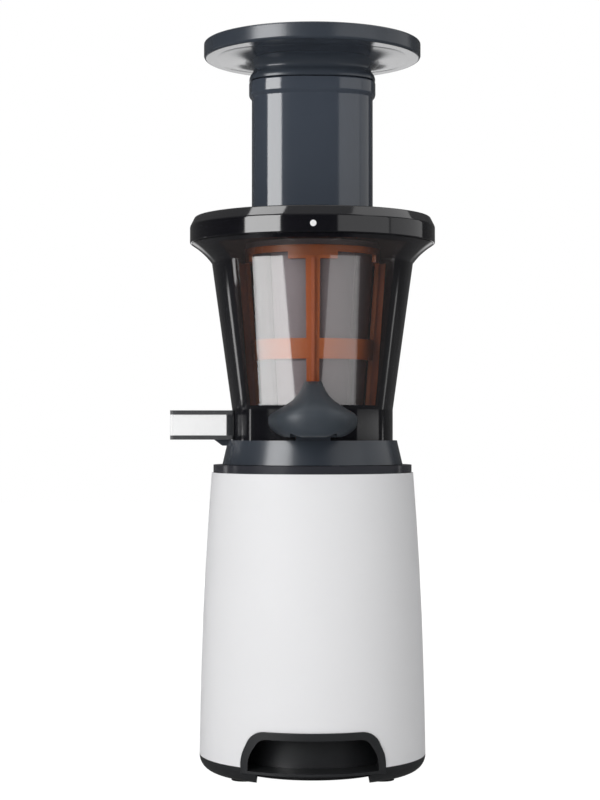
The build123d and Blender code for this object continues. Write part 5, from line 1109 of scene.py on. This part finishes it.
# -------- studio
@dataclass(frozen=True)
class Lamp:
    """Rectangular soft lamp that hangs at a place and faces a target. Sizes in metres, power in watts.

    Attributes:
        lights: whether it lights surfaces.
        mirrored: whether glossy surfaces show it.
        window_only: whether it reaches the bowl's window alone.
    """

    name: str
    place: Point
    target: Point
    width: float
    height: float
    power: float
    lights: bool = True
    mirrored: bool = True
    window_only: bool = False

    def hang(self, window: bpy.types.Collection) -> None:
        """Hangs the lamp.

        Args:
            window: collection that holds the bowl's window.
        """
        data = bpy.data.lights.new(self.name, "AREA")
        data.shape = "RECTANGLE"
        data.size = self.width
        data.size_y = self.height
        data.energy = self.power
        lamp = bpy.data.objects.new(self.name, data)
        bpy.context.scene.collection.objects.link(lamp)
        lamp.visible_diffuse = self.lights
        lamp.visible_glossy = self.mirrored
        lamp.location = self.place
        aim = Vector(self.target) - Vector(self.place)
        lamp.rotation_euler = aim.to_track_quat("-Z", "Y").to_euler()
        if self.window_only:
            lamp.light_linking.receiver_collection = window


def panel(name: str, turn: float, distance: float, z: float, width: float, height: float,
          brightness: float) -> Lamp:
    """Works out a lamp that stands round the object and that only gloss picks up.

    Args:
        name: name of the panel.
        turn: its direction in degrees from the front, positive to the right.
        distance: how far it stands from the axis.
        z: height of its middle; over 1 m it leans towards the object.
        width: its width.
        height: its height.
        brightness: its radiance.

    Returns:
        The lamp.
    """
    angle = math.radians(turn)
    place = (distance * math.sin(angle), -distance * math.cos(angle), z)
    target = (0.0, 0.0, 0.3 if z > 1.0 else z)
    return Lamp(name, place, target, width, height, brightness * math.pi * width * height, False)


MIDDLE = (0.0, 0.0, 0.25)
LAMPS = (
    Lamp("key", (-0.70, -1.21, 0.50), MIDDLE, 0.8, 0.8, 10.8, mirrored=False),
    Lamp("above", (0.0, 0.1, 1.5), MIDDLE, 0.9, 0.9, 2.5),
    Lamp("behind", (0.0, 1.4, 0.6), MIDDLE, 0.8, 0.8, 8.0, mirrored=False),
    Lamp("right_front", (1.01, -0.91, 0.575), (0.0, 0.0, 0.575), 1.3, 0.55, 2.4),
    panel("right_side", 98.0, 1.41, 0.575, 1.2, 0.55, 0.85),
    panel("right_low", 86.0, 1.36, 0.20, 1.05, 0.04, 0.9),
    panel("right_high", 85.0, 1.0, 1.30, 1.6, 0.7, 1.2),
    panel("right_edge", 118.0, 1.31, 0.10, 0.06, 0.20, 1.3),
    panel("left_strip", -46.5, 1.38, 0.60, 0.86, 0.70, 9.3),
    Lamp("left_low", (-0.519, -0.391, 0.085), (-0.320, -0.241, 1.053), 0.61, 0.72, 8.2, False, True, True),
    Lamp("front_low", (0.391, -0.519, 0.085), (0.241, -0.320, 1.053), 0.55, 0.72, 2.1, False, True, True),
    panel("left_high", -60.0, 0.9, 1.50, 0.66, 0.42, 6.0),
    panel("left_edge", -118.0, 1.31, 0.10, 0.10, 0.20, 2.6),
    panel("left_spark", -99.0, 1.35, 0.20, 0.06, 0.10, 3.5),
)


@dataclass
class Studio:
    """Floor, world, lamps and camera. Sizes in metres."""

    lens: float = 85.6
    sensor: float = 36.0
    camera_place: Point = (-0.0072, -1.100, 0.196)
    camera_pitch: float = 90.90
    floor_size: float = 8.0
    floor_gap: float = 0.0002
    floor_grey: float = 0.86
    floor_white: float = 0.9
    floor_glow: float = 1.12
    ambient: float = 0.355

    def build(self) -> None:
        """Builds the studio."""
        self.build_world()
        self.build_floor()
        window = bpy.data.collections.new("lit_from_below")
        window.objects.link(frame["nodes"]["bowl_window"])
        for lamp in LAMPS:
            lamp.hang(window)
        self.build_camera()

    @staticmethod
    def rays(nodes: Nodes) -> tuple[Socket, Socket]:
        """Masks of what the camera sees straight on or through clear plastic, and of what gloss shows."""
        path = nodes.add("LightPath").outputs
        seen = nodes.maths("MAXIMUM", path["Is Camera Ray"], path["Is Transmission Ray"])
        return seen, path["Is Glossy Ray"]

    def build_world(self) -> None:
        """Makes an even surround that reflections show as a dark room with a pale ceiling."""
        world = bpy.data.worlds.new("studio")
        bpy.context.scene.world = world
        world.use_nodes = True
        nodes = Nodes(world.node_tree)
        way = nodes.split(nodes.add("TexCoord").outputs["Generated"])
        room = nodes.maths("ADD", nodes.spread(way["Y"], -0.2, 0.9, 0.03, 0.10),
                           nodes.spread(way["Z"], 0.3, 0.9, 0.0, 0.5))
        seen, glossy = self.rays(nodes)
        strength = nodes.mix(seen, nodes.mix(glossy, self.ambient, room, "FLOAT"), 1.0, "FLOAT")
        nodes.feed(nodes.tree.nodes["Background"], {"Color": shade((1.0, 1.0, 1.0)), "Strength": strength})

    def build_floor(self) -> None:
        """Makes a pale floor that shows white and keeps a soft shadow; glossy rays see it glow, with a
        painted bright pool behind the object.
        """
        mesh = bmesh.new()
        bmesh.ops.create_grid(mesh, x_segments=4, y_segments=4, size=self.floor_size / 2)
        bmesh.ops.translate(mesh, verts=mesh.verts, vec=(0.0, 0.0, -self.floor_gap))
        floor = Workshop.raw(mesh, "floor")
        nodes = Mixer("floor_white", {})
        nodes.feed(nodes.shader, {"Base Color": shade((self.floor_grey,) * 3), "Roughness": 0.7,
                                  "Specular IOR Level": 0.1})
        place = nodes.split(nodes.add("TexCoord").outputs["Object"])
        # Painted reflection: glossy rays see the floor glow dim in front and bright in a pool behind the
        # object, for undersides to mirror.
        beside = nodes.spread(nodes.maths("ABSOLUTE", place["X"]), 0.4, 0.75, 1.0, 0.0)
        painted_glow_pool = nodes.maths("MULTIPLY", beside, nodes.spread(place["Y"], 1.1, 1.6))
        seen, glossy = self.rays(nodes)
        strength = nodes.mix(glossy, self.floor_glow, nodes.spread(painted_glow_pool, 0.0, 1.0, 0.12, 1.45), "FLOAT")
        glow = nodes.add("Emission", {"Strength": strength})
        share = nodes.maths("MAXIMUM", nodes.maths("MULTIPLY", seen, self.floor_white), glossy)
        surface = nodes.add("MixShader", {0: share, 1: nodes.shader.outputs[0], 2: glow.outputs[0]})
        nodes.feed(nodes.tree.nodes["Material Output"], {"Surface": surface.outputs[0]})
        floor.data.materials.append(nodes.material)

    def build_camera(self) -> None:
        """Sets up the camera."""
        data = bpy.data.cameras.new("camera")
        data.lens = self.lens
        data.sensor_width = self.sensor
        data.clip_start = 0.01
        camera = bpy.data.objects.new("camera", data)
        bpy.context.scene.collection.objects.link(camera)
        camera.location = self.camera_place
        camera.rotation_euler = (math.radians(self.camera_pitch), 0.0, 0.0)
        bpy.context.scene.camera = camera


def main() -> None:
    """Builds the studio and every sub-assembly."""
    logging.basicConfig(level=logging.INFO, format="%(message)s")
    scene = bpy.context.scene
    for spare in [item for item in scene.objects if item.type in ("CAMERA", "LIGHT") or item.name == "Cube"]:
        bpy.data.objects.remove(spare)
    scene.view_settings.view_transform = "Standard"
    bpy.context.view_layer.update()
    Studio().build()
    shop = Workshop()
    for part in frame["record"]["subparts"]:
        name = part["node"]
        shop.paint(frame["nodes"][name], NODE_LOOKS.get(name, Look[part["material_slot"].upper()]))
    for part in (PowerUnit(shop), BowlFront(shop), Lid(shop), Pusher(shop)):
        part.build()
        LOG.info("built %s", type(part).__name__)


if __name__ == "__main__":
    main()
